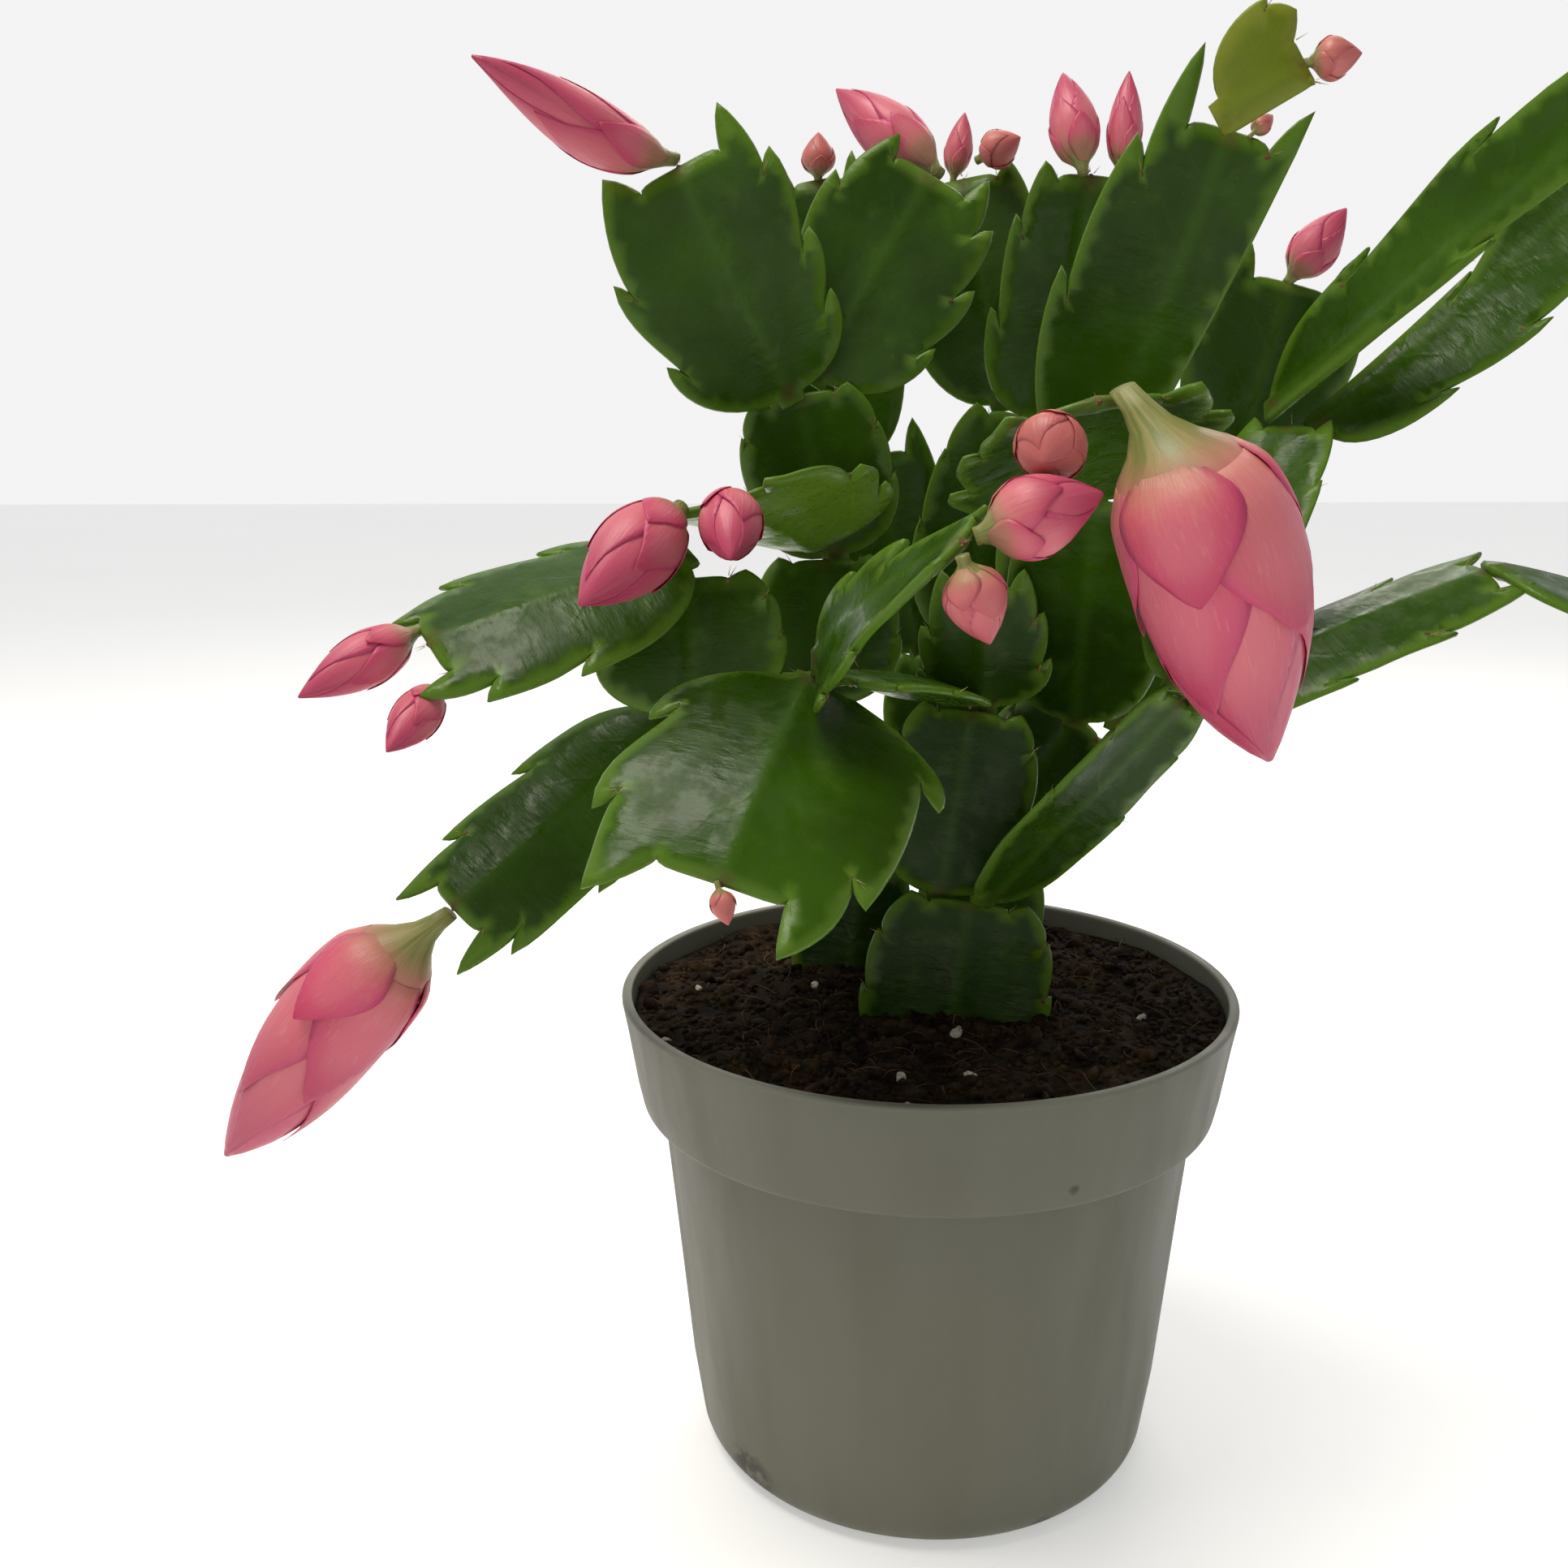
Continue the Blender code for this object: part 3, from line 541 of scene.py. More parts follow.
# ---- geometry node rules ----------------------------------------------------------------------
class Rule(Nodes):
    """A geometry node tree under construction, with named sizes as its inputs."""

    def __init__(self, name, sizes):
        super().__init__(bpy.data.node_groups.new(name, "GeometryNodeTree"))
        face = self.tree.interface
        face.new_socket("Geometry", in_out="INPUT", socket_type="NodeSocketGeometry")
        face.new_socket("Geometry", in_out="OUTPUT", socket_type="NodeSocketGeometry")
        for label, kind in sizes:
            face.new_socket(label, in_out="INPUT", socket_type="NodeSocket" + kind)
        self.source = self.tree.nodes.new("NodeGroupInput")
        self.result = self.tree.nodes.new("NodeGroupOutput")

    def given(self, label):
        return self.source.outputs[label]

    def random(self, low, high, seed, kind="FLOAT"):
        made = self.node("FunctionNodeRandomValue", {"data_type": kind}, Seed=seed)
        least, most, result = {"FLOAT": (2, 3, 1), "FLOAT_VECTOR": (0, 1, 0)}[kind]
        self.feed(made.inputs[least], low)
        self.feed(made.inputs[most], high)
        return made.outputs[result]

    def close(self, geometry):
        """Make the copies real and give them the material, which ends the tree."""
        real = self.node("GeometryNodeRealizeInstances", Geometry=geometry)
        finish = self.node("GeometryNodeSetMaterial", Geometry=real.outputs[0],
                           Material=self.given("Material"))
        self.tree.links.new(finish.outputs[0], self.result.inputs[0])
        return self.tree


def run_rule(thing, group, **values):
    """Put the tree on the object with its sizes set, and keep only the mesh that it makes."""
    tool = thing.modifiers.new("rule", "NODES")
    tool.node_group = group
    for item in group.interface.items_tree:
        if item.in_out == "INPUT" and item.name in values:
            tool[item.identifier] = values[item.name]
    settle(thing)


def lathe_rule():
    """Turns a chain of points (radius, 0, height) once round Z."""
    rule = Rule("lathe", [("Points", "Int"), ("Sides", "Int"), ("Material", "Material")])
    around = rule.math("ADD", rule.given("Sides"), 1.0)
    grid = rule.node("GeometryNodeMeshGrid", Vertices_X=rule.given("Points"), Vertices_Y=around)
    index = rule.node("GeometryNodeInputIndex").outputs[0]
    row = rule.math("FLOOR", rule.math("DIVIDE", rule.math("ADD", index, 0.5), around))
    step = rule.math("SUBTRACT", index, rule.times(row, around))
    turn = rule.math("DIVIDE", rule.times(step, 2.0 * math.pi), rule.given("Sides"))
    position = rule.node("GeometryNodeInputPosition").outputs[0]
    sample = rule.node("GeometryNodeSampleIndex", {"data_type": "FLOAT_VECTOR"},
                       Geometry=rule.given("Geometry"), Value=position, Index=row)
    parts = rule.node("ShaderNodeSeparateXYZ", Vector=sample.outputs[0])
    east = rule.times(parts.outputs[0], rule.math("COSINE", turn))
    north = rule.times(parts.outputs[0], rule.math("SINE", turn))
    point = rule.node("ShaderNodeCombineXYZ", X=east, Y=north, Z=parts.outputs[2])
    moved = rule.node("GeometryNodeSetPosition", Geometry=grid.outputs[0], Position=point.outputs[0])
    joined = rule.node("GeometryNodeMergeByDistance", Geometry=moved.outputs[0], Distance=1e-5)
    return rule.close(joined.outputs[0])


def scatter_rule(name, shape_of):
    """Strews copies of a small shape over the faces of a surface."""
    rule = Rule(name, [("Density", "Float"), ("Seed", "Int"), ("Smallest", "Vector"),
                       ("Largest", "Vector"), ("Tilt", "Float"), ("Material", "Material")])
    spread = rule.node("GeometryNodeDistributePointsOnFaces", Mesh=rule.given("Geometry"),
                       Density=rule.given("Density"), Seed=rule.given("Seed"))
    size = rule.random(rule.given("Smallest"), rule.given("Largest"), 3, "FLOAT_VECTOR")
    tilt = rule.random(rule.times(rule.given("Tilt"), -1.0), rule.given("Tilt"), 7)
    lean = rule.random(rule.times(rule.given("Tilt"), -1.0), rule.given("Tilt"), 9)
    turn = rule.node("ShaderNodeCombineXYZ", X=tilt, Y=lean, Z=rule.random(0.0, 6.283, 5))
    copies = rule.node("GeometryNodeInstanceOnPoints", Points=spread.outputs["Points"],
                       Instance=shape_of(rule), Rotation=turn.outputs[0], Scale=size)
    return rule.close(copies.outputs[0])


def plant_rule(name, shape_of):
    """Stands a small shape on every point, along the point's own outward mark."""
    rule = Rule(name, [("Seed", "Int"), ("Smallest", "Float"), ("Largest", "Float"),
                       ("Material", "Material")])
    out = rule.node("GeometryNodeInputNamedAttribute", {"data_type": "FLOAT_VECTOR"}, Name="out")
    turn = rule.node("FunctionNodeAlignRotationToVector", {"axis": "Z"}, Vector=out.outputs[0])
    size = rule.random(rule.given("Smallest"), rule.given("Largest"), rule.given("Seed"))
    copies = rule.node("GeometryNodeInstanceOnPoints", Points=rule.given("Geometry"),
                       Instance=shape_of(rule), Rotation=turn.outputs[0], Scale=size)
    return rule.close(copies.outputs[0])


def crumb_shape(level):
    def shape(rule):
        ball = rule.node("GeometryNodeMeshIcoSphere", Radius=MM, Subdivisions=level)
        where = rule.node("GeometryNodeInputPosition").outputs[0]
        rough = rule.node("ShaderNodeTexNoise", Vector=where, Scale=900.0, Detail=1.0)
        shift = rule.node("ShaderNodeVectorMath", {"operation": "SCALE"})
        rule.feed(shift.inputs[0], where)
        rule.feed(shift.inputs["Scale"], rule.math("SUBTRACT", rough.outputs[0], 0.5))
        made = rule.node("GeometryNodeSetPosition", Geometry=ball.outputs[0],
                         Offset=shift.outputs[0])
        return made.outputs[0]
    return shape


def fibre_shape(rule):
    bow = rule.node("GeometryNodeCurveQuadraticBezier", Resolution=7, Start=(-3.0 * MM, 0.0, 0.0),
                    Middle=(0.3 * MM, 2.2 * MM, 1.6 * MM), End=(3.4 * MM, -0.6 * MM, -0.2 * MM))
    ring = rule.node("GeometryNodeCurvePrimitiveCircle", Resolution=4, Radius=0.09 * MM)
    tube = rule.node("GeometryNodeCurveToMesh", Curve=bow.outputs[0], Profile_Curve=ring.outputs[0],
                     Fill_Caps=True)
    return tube.outputs[0]


def bristle_shape(rule):
    cone = rule.node("GeometryNodeMeshCone", Vertices=5, Radius_Top=0.01 * MM,
                     Radius_Bottom=0.07 * MM, Depth=1.5 * MM)
    return cone.outputs[0]


# ---- stem segments ----------------------------------------------------------------------------
class Blade:
    """Placement and bending of one segment."""

    def __init__(self, base, row):
        (parent, _, _, self.width, tip, looks, self.bow, self.cup, self.twist, self.horn) = row
        self.planted = parent is None
        self.base = base
        self.half = self.width / 2.0
        reach = Vector(tip) - base
        self.length = reach.length
        self.axis = reach.normalized()
        outward = direction(*looks)
        self.face = (outward - self.axis * outward.dot(self.axis)).normalized()
        self.side = self.axis.cross(self.face)

    def side_at(self, share):
        turn = math.radians(self.twist) * (share - 0.5)
        return self.side * math.cos(turn) + self.face * math.sin(turn)

    def face_at(self, share):
        turn = math.radians(self.twist) * (share - 0.5)
        upright = self.face * math.cos(turn) - self.side * math.sin(turn)
        slope = self.bow * 4.0 * (1.0 - 2.0 * share) / self.length
        return (upright - self.axis * slope).normalized()

    def point(self, along, across, lift=0.0):
        share = along / self.length
        held = min(max(share, 0.0), 1.0)
        spine = self.base + self.axis * along + self.face * (self.bow * 4.0 * held * (1.0 - held))
        curl = self.cup * (abs(across) / self.half) ** 1.5
        return spine + self.side_at(held) * across + self.face_at(held) * (curl + lift)

    def tip(self, across, fore=0.0):
        return self.point(self.length, across, fore)


def reach_back(parent, side, face):
    return abs(side.dot(parent.axis)) * 1.7 + abs(face.dot(parent.axis)) * EDGE_THICK


def grow_blades():
    blades = {}
    for name, row in SEGMENTS.items():
        parent_name, across, fore = row[:3]
        if parent_name is None:
            base = Vector(FEET[name])
        else:
            parent = blades[parent_name]
            rough = Blade(parent.tip(across, fore), row)
            back = reach_back(parent, rough.side, rough.face)
            base = parent.tip(across, fore) + parent.axis * (JOINT_GAP + back)
        blades[name] = Blade(base, row)
    return blades


def half_width(share):
    """Half width of the unbroken margin, as a share of the widest: round below, tapering above."""
    if share < 0.45:
        return math.sin(0.5 * math.pi * max(share, 0.0) / 0.45) ** 0.55
    return 1.0 - 0.34 * ((share - 0.45) / 0.7) ** 1.7


def curve_run(points, steps):
    """Points of a cubic curve after its first one."""
    run = []
    for step in range(1, steps + 1):
        t = step / steps
        u = 1.0 - t
        weights = (u * u * u, 3.0 * u * u * t, 3.0 * u * t * t, t * t * t)
        run.append(tuple(sum(weight * point[axis] for weight, point in zip(weights, points))
                         for axis in (0, 1)))
    return run


def margin_line(blade, teeth, chance, old):
    """One side of the outline from the neck to the middle of the tip, and its notches."""
    length = blade.length
    half = blade.half
    neck = half * PLANTED_NECK if blade.planted else NECK_HALF_WIDTH
    line = [(-1.3, neck * 0.9)]
    notches = []
    here = (0.0, neck)
    line.append(here)
    for number, (place, out, *flat) in enumerate(teeth):
        horn = number == len(teeth) - 1
        full = flat[0] if flat else 1.0
        tip = (place * length, out * half)
        rise = tip[0] - here[0]
        climb = tip[1] - here[1]
        if number == 0:
            swell = (here[0] + rise * (0.36 - 0.30 * full), here[1] + climb * (0.2 + 0.55 * full))
            brow = (here[0] + rise * 0.62, here[1] + climb * (0.6 + 0.47 * full))
        else:
            swell = (here[0] + rise * 0.25, here[1] + 0.05 * half)
            bulge = 0.04 if horn else 0.10
            brow = (here[0] + rise * 0.60, max(tip[1], here[1] * 0.97) + bulge * half * full)
        line += curve_run((here, swell, brow, tip), 12 if number == 0 else 9)
        if horn:
            foot = (0.97 * length, min(0.42, out - 0.06) * half)
        else:
            back = (0.03 if old else 0.085) * length * chance.uniform(0.8, 1.15)
            depth = (0.07 if old else 0.16) * half * chance.uniform(0.8, 1.15)
            foot = (tip[0] - back, tip[1] - depth)
        inner = (tip[0] + (foot[0] - tip[0]) * 0.35, tip[1] + (foot[1] - tip[1]) * 0.62)
        deep = (tip[0] + (foot[0] - tip[0]) * 0.85, tip[1] + (foot[1] - tip[1]) * 0.90)
        line += curve_run((tip, inner, deep, foot), 5)
        notches.append(foot)
        here = foot
    line += curve_run((here, (length, 0.40 * half), (length, 0.30 * half),
                       (length, 0.0)), 5)
    return line, notches


def blade_teeth(name, blade, chance):
    old = blade.horn < OLD_HORN
    if name in TEETH:
        return TEETH[name], old
    places = OLD_TEETH if old else YOUNG_TEETH
    horn = 1.0 + blade.horn / blade.length
    sides = []
    for _ in range(2):
        shift = chance.uniform(-0.06, 0.05)
        row = []
        for place in places:
            here = place + shift + chance.uniform(-0.02, 0.02)
            row.append((here, half_width(here) + (0.0 if old else 0.02)))
        row.append((horn + (0.0 if old else chance.uniform(-0.02, 0.03)), 0.62))
        sides.append(tuple(row))
    return tuple(sides), old


def thickness(blade, along, across):
    """A thin margin, a gently swollen web and a raised midrib that fades towards the tip."""
    out = min(abs(across) / blade.half, 1.0)
    share = min(max(along / blade.length, 0.0), 1.0)
    web = 0.95 + 0.55 * (1.0 - out * out)
    return web + math.exp(-(across / 1.3) ** 2) * (1.0 - 0.55 * share)


def cork_at(blade, along, across):
    """How brown and corky the skin is: at the neck and round the middle of the tip."""
    neck = 1.0 - smooth_step(0.0, 2.2, math.hypot(max(along, 0.0), across))
    tip = 1.0 - smooth_step(0.3, 2.0, math.hypot(along - blade.length, across))
    return max(neck, tip)


def fill_outline(blade, outline, rim):
    """Points on and inside the outline, and the triangles between them."""
    flat = [Vector(point) for point in outline]
    count = len(outline)
    for index, here in enumerate(outline):
        run = Vector(outline[(index + 1) % count]) - Vector(outline[index - 1])
        inner = Vector(here) + Vector((-run.y, run.x)).normalized() * MARGIN
        if rim.find((inner.x, inner.y, 0.0))[2] > 0.8 * MARGIN:
            flat.append(inner)
    columns = int(blade.half * 1.15 / GRID)
    for row in range(int(blade.length * 1.35 / GRID)):
        for column in range(-columns, columns + 1):
            shift = 0.5 * GRID if row % 2 and column else 0.0
            place = ((row + 0.4) * GRID, column * GRID + shift)
            if rim.find((*place, 0.0))[2] > 1.3:
                flat.append(Vector(place))
    edges = [(index, (index + 1) % count) for index in range(count)]
    points, _, triangles, _, _, _ = delaunay_2d_cdt(flat, edges, [], 1, 1e-5)
    # grid points outside the outline belong to no triangle and are dropped
    used = sorted({index for triangle in triangles for index in triangle})
    number_of = {index: new for new, index in enumerate(used)}
    triangles = [tuple(number_of[index] for index in triangle) for triangle in triangles]
    return [points[index] for index in used], triangles


def find_border(points, triangles):
    """Edges with a triangle on one side only, and the outward push at each of their points."""
    edges = dict.fromkeys(edge for triangle in triangles
                          for edge in zip(triangle, triangle[1:] + triangle[:1]))
    border = [edge for edge in edges if edge[::-1] not in edges]
    outward = {}
    for first, second in border:
        step = points[second] - points[first]
        push = Vector((step.y, -step.x)).normalized()
        for index in (first, second):
            outward[index] = outward.get(index, Vector((0.0, 0.0))) + push
    return border, outward


def make_segment(name, number, blade, material, seats):
    """Two skins over the filled outline, joined by a rounded rim; the notches go to seats."""
    chance = random.Random(100 + number)
    (left_teeth, right_teeth), old = blade_teeth(name, blade, chance)
    left, left_notches = margin_line(blade, left_teeth, chance, old)
    right, right_notches = margin_line(blade, right_teeth, chance, old)
    outline = right + [(along, -out) for along, out in reversed(left[:-1])]
    rim = KDTree(len(outline))
    for index, (along, across) in enumerate(outline):
        rim.insert((along, across, 0.0), index)
    rim.balance()
    points, triangles = fill_outline(blade, outline, rim)
    border, outward = find_border(points, triangles)
    verts = []
    marks = {"leaf": [], "rim": [], "cork": []}

    def add_point(along, across, side, lift, inside):
        out = min(abs(across) / blade.half, 1.0)
        spot = Vector((along / RIPPLE_LENGTH, across / RIPPLE_LENGTH, 5.0 * number))
        ripple = RIPPLE_HEIGHT * out * noise.noise(spot)
        verts.append(blade.point(along, across, ripple + side * lift))
        marks["leaf"].append((across, along, side))
        marks["rim"].append(inside)
        marks["cork"].append(cork_at(blade, along, across))

    for side in (1.0, -1.0):
        for index, (along, across) in enumerate(points):
            thick = thickness(blade, along, across) * (0.72 if index in outward else 1.0)
            gap = rim.find((along, across, 0.0))[2]
            inside = 0.0 if index in outward else smooth_step(0.0, 0.75, gap)
            add_point(along, across, side, thick / 2.0, inside)
    middle = {}
    for index, push in outward.items():
        middle[index] = len(verts)
        along, across = points[index] + push.normalized() * RIM_BULGE
        add_point(along, across, 0.0, 0.0, 0.0)
    total = len(points)
    faces = triangles + [tuple(total + index for index in reversed(triangle))
                         for triangle in triangles]
    for first, second in border:
        faces.append((second, first, middle[first], middle[second]))
        faces.append((middle[second], middle[first], total + first, total + second))
    marks["tone"] = [chance.random()] * len(verts)
    # marks the segments whose underside gets the painted light
    marks["painted_backlight"] = [float(name in BACKLIT_SEGMENTS)] * len(verts)
    thing = add_piece(name + "_skin", verts, faces, material, marks)
    for side, notches in ((-1.0, left_notches), (1.0, right_notches)):
        for along, out in notches:
            away = (blade.axis + blade.side * side * 0.7).normalized()
            seats.append((blade.point(along, side * out), away, old))
    seats.append((blade.tip(0.0), blade.axis, old))
    return thing


# ---- buds -------------------------------------------------------------------------------------
BUD_PROFILE = [(0.0, 0.22), (0.06, 0.36), (0.18, 0.74), (0.38, 1.00), (0.58, 0.92),
               (0.78, 0.60), (0.93, 0.24), (1.0, 0.04)]
FLOWER_PROFILE = [(0.0, 0.13), (0.07, 0.20), (0.12, 0.36), (0.18, 0.70), (0.27, 0.92),
                  (0.43, 1.00), (0.64, 0.92), (0.82, 0.62), (0.94, 0.28), (1.0, 0.05)]
GOLDEN_TURN = math.radians(137.5)


def profile_radius(profile, share):
    """Radius between the profile's points on a smooth curve through them."""
    share = min(max(share, 0.0), 1.0)
    for index in range(len(profile) - 1):
        (low, first), (high, last) = profile[index], profile[index + 1]
        if share <= high:
            before = profile[max(index - 1, 0)]
            after = profile[min(index + 2, len(profile) - 1)]
            t = (share - low) / (high - low)
            rise = (last - before[1]) / max(high - before[0], 1e-6) * (high - low)
            fall = (after[1] - first) / max(after[0] - low, 1e-6) * (high - low)
            return ((2 * t ** 3 - 3 * t ** 2 + 1) * first + (t ** 3 - 2 * t ** 2 + t) * rise
                    + (3 * t ** 2 - 2 * t ** 3) * last + (t ** 3 - t ** 2) * fall)
    return profile[-1][1]


class Bud:
    """Placement and bending of one bud."""

    def __init__(self, row, blades):
        parent_name, across, fore, thick, tip, self.sway, self.arch, kind = row
        parent = blades[parent_name]
        self.flower = kind == "flower"
        self.profile = FLOWER_PROFILE if self.flower else BUD_PROFILE
        self.half = thick / 2.0
        foot = self.profile[0][1] * self.half
        seat = parent.tip(across, fore)
        lean = (Vector(tip) - seat).normalized()
        slant = math.sqrt(max(0.0, 1.0 - lean.dot(parent.axis) ** 2)) * BUD_STANDOFF
        self.base = seat + parent.axis * (JOINT_GAP + foot * slant)
        self.length = (Vector(tip) - self.base).length
        self.axis = (Vector(tip) - self.base).normalized()
        self.level = Vector((-self.axis.y, self.axis.x, 0.0)).normalized()
        self.upper = self.axis.cross(self.level)

    def point(self, share, turn, radius):
        bend = 6.75 * share * (1.0 - share) ** 2
        middle = (self.base + self.axis * (share * self.length)
                  + (self.level * self.sway + self.upper * self.arch) * bend)
        return middle + (self.level * math.cos(turn) + self.upper * math.sin(turn)) * radius

    def radius(self, share):
        return profile_radius(self.profile, share) * self.half


def petal_plan(bud):
    """(turn, foot, tip, half angle, height off the heart) of each scale, innermost first."""
    count = 5 if bud.length < 7.0 else (9 if bud.flower else 7)
    front = math.atan2(-bud.upper.y, -bud.level.y)
    first = front - GOLDEN_TURN * (count - 1) + 0.35
    plan = []
    for number in range(count):
        share = number / (count - 1)
        end = 1.0 - 0.56 * share ** 0.9
        foot = 0.16 + 0.10 * (1.0 - share) if bud.flower else 0.03 + 0.15 * (1.0 - share)
        plan.append((first + GOLDEN_TURN * number, foot, end, 1.12 - 0.22 * share, 0.10 + 0.55 * share))
    return plan


def petal_reach(u):
    """Half width of a scale from foot to tip: broad in the middle, drawn out to a point."""
    return (0.72 + 0.28 * math.sin(math.pi * min(u * 1.25, 1.0))) * (1.0 - u ** 2.4) ** 0.85


def heart_faces(rings, sides):
    faces = [tuple(range(sides - 1, -1, -1)), tuple(rings * sides + side for side in range(sides))]
    for ring in range(rings):
        for side in range(sides):
            after = (side + 1) % sides
            faces.append((ring * sides + side, ring * sides + after,
                          (ring + 1) * sides + after, (ring + 1) * sides + side))
    return faces


def scale_faces(start, steps, wide):
    """Outer sheet, inner sheet and the edge between them, of a scale whose points begin at start."""
    line = wide + 1
    sheet = line * (steps + 1)
    faces = []
    for step in range(steps):
        for column in range(wide):
            outer = start + step * line + column
            faces.append((outer, outer + 1, outer + line + 1, outer + line))
            inner = outer + sheet
            faces.append((inner + line, inner + line + 1, inner + 1, inner))
    edge = [start + column for column in range(wide)]
    edge += [start + step * line + wide for step in range(steps)]
    edge += [start + steps * line + wide - column for column in range(wide)]
    edge += [start + (steps - step) * line for step in range(steps)]
    for here, after in zip(edge, edge[1:] + edge[:1]):
        faces.append((after, here, here + sheet, after + sheet))
    return faces


def make_bud(name, number, row, blades, material):
    """A closed heart in the shape of the bud, under curved scales that overlap like tiles."""
    chance = random.Random(500 + number)
    bud = Bud(row, blades)
    scale = min(bud.half / 5.0, 1.6)
    if bud.flower:
        foot_green, plump, sunk, flare_most = 0.19, 0.82, 0.4, 1.5
    else:
        foot_green, plump, sunk, flare_most = 0.20, 0.90, 0.9, 0.35
    sunk /= bud.length
    verts = []
    marks = {"petal": [], "streak": [], "bare": []}

    def add_point(place, petal, streak, bare):
        verts.append(place)
        marks["petal"].append(petal)
        marks["streak"].append(streak)
        marks["bare"].append(bare)

    for ring in range(HEART_RINGS + 1):
        share = -sunk + (1.0 + sunk) * ring / HEART_RINGS
        for side in range(HEART_SIDES):
            turn = 2.0 * math.pi * side / HEART_SIDES
            radius = bud.radius(share) * (1.0 + (plump - 1.0) * smooth_step(0.0, 0.25, share))
            add_point(bud.point(share, turn, radius), (0.0, share, 0.2),
                      (turn * 3.0, share * bud.length * 0.12, 40.0),
                      1.0 - smooth_step(0.55 * foot_green, foot_green + 0.06, share))
    faces = heart_faces(HEART_RINGS, HEART_SIDES)
    steps, wide = (14, 10) if bud.length > 15.0 else (9, 8)
    for turn, foot, end, spread, lift in petal_plan(bud):
        tone = chance.random()
        turn += chance.uniform(-0.2, 0.2)
        flare = flare_most * scale * chance.uniform(0.2, 1.4) * lift
        faces += scale_faces(len(verts), steps, wide)
        for layer, step, column in product((1.0, 0.0), range(steps + 1), range(wide + 1)):
            u = step / steps
            v = 2.0 * column / wide - 1.0
            share = foot + (end - foot) * u
            reach = v * spread * max(petal_reach(u), 0.02)
            height = (lift * smooth_step(0.0, 0.22, u) * 0.9 * scale + flare * u ** 4
                      + layer * 0.22 * scale * (1.0 - 0.75 * v * v) * (1.0 - 0.5 * u))
            radius = bud.radius(share) * plump + height * (0.35 + 0.65 * (1.0 - share))
            add_point(bud.point(share, turn + reach, radius),
                      (max(abs(v) ** 2.6, u ** 7), 0.62 * u + 0.38 * share, tone),
                      (reach * bud.half * 2.2, u * bud.length * 0.14, tone * 30.0),
                      0.5 * (1.0 - smooth_step(0.6 * foot_green, 1.3 * foot_green, share)))
    unripe = 0.0 if bud.length > 12.0 else 0.5 * smooth_step(0.0, 1.0, (12.0 - bud.length) / 6.0)
    marks["unripe"] = [unripe] * len(verts)
    return add_piece(name + "_scales", verts, faces, material, marks)


# ---- pot --------------------------------------------------------------------------------------
def inner_radius(height):
    step = POT_HEIGHT - COLLAR_HEIGHT - 1.5
    if height > step:
        share = (height - step) / (POT_HEIGHT - step)
        return COLLAR_FOOT_RADIUS + share * (RIM_RADIUS - COLLAR_FOOT_RADIUS) - WALL
    share = height / step
    return BASE_RADIUS + share * (BODY_TOP_RADIUS - BASE_RADIUS) - WALL


def arc(middle_radius, middle_height, radius, start, end, steps):
    """Points of a round corner; angles in degrees, 0 outwards and 90 up."""
    run = []
    for step in range(steps + 1):
        angle = math.radians(start + (end - start) * step / steps)
        run.append((middle_radius + radius * math.cos(angle),
                    middle_height + radius * math.sin(angle)))
    return run


def pot_outline():
    """Closed section of the wall: up the outside, over the lip and down the inside."""
    shoulder = POT_HEIGHT - COLLAR_HEIGHT
    lean = (RIM_RADIUS - COLLAR_FOOT_RADIUS) / COLLAR_HEIGHT
    outside = [(0.0, 0.0), (DRAIN_RING - 6.0, 0.0), (DRAIN_RING + 4.6, 0.0)]
    outside += arc(BASE_RADIUS - BASE_ROUND, BASE_ROUND, BASE_ROUND, -90.0, -4.0, 8)
    outside += [(BASE_RADIUS + (BODY_TOP_RADIUS - BASE_RADIUS) * share, shoulder * share)
                for share in (0.25, 0.5, 0.75)]
    outside += [(BODY_TOP_RADIUS, shoulder - 0.5)]
    outside += arc(BODY_TOP_RADIUS + 0.5, shoulder - 0.4, 0.5, 180.0, 95.0, 3)
    outside += arc(COLLAR_FOOT_RADIUS - 1.1, shoulder + 1.1, 1.1, -85.0, -8.0, 5)
    for height in (4.0, 8.0, 12.0):
        outside.append((COLLAR_FOOT_RADIUS + lean * height, shoulder + height))
    outside += arc(RIM_RADIUS - 0.55, POT_HEIGHT - 0.55, 0.55, -10.0, 90.0, 6)
    outside += arc(RIM_RADIUS - WALL + 0.1, POT_HEIGHT - 0.4, 0.4, 90.0, 180.0, 4)
    step = shoulder - 1.5
    inside = [(inner_radius(POT_HEIGHT - 4.0), POT_HEIGHT - 4.0),
              (COLLAR_FOOT_RADIUS - WALL, step + 1.4), (inner_radius(step), step),
              (inner_radius(BASE_ROUND), BASE_ROUND + 1.0),
              (BASE_RADIUS - BASE_ROUND, FLOOR), (0.0, FLOOR)]
    return outside + inside


def make_drill():
    """A peg through the floor for every drain hole."""
    pegs = bmesh.new()
    for hole in range(DRAIN_HOLES):
        angle = 2.0 * math.pi * (hole + 0.5) / DRAIN_HOLES
        at = Vector((DRAIN_RING * math.cos(angle), DRAIN_RING * math.sin(angle), FLOOR / 2.0)) * MM
        bmesh.ops.create_cone(pegs, cap_ends=True, segments=32, radius1=DRAIN_RADIUS * MM,
                              radius2=DRAIN_RADIUS * MM, depth=(FLOOR + 3.0) * MM,
                              matrix=Matrix.Translation(at))
    mesh = bpy.data.meshes.new("drain_drill")
    pegs.to_mesh(mesh)
    pegs.free()
    return put("drain_drill", mesh)


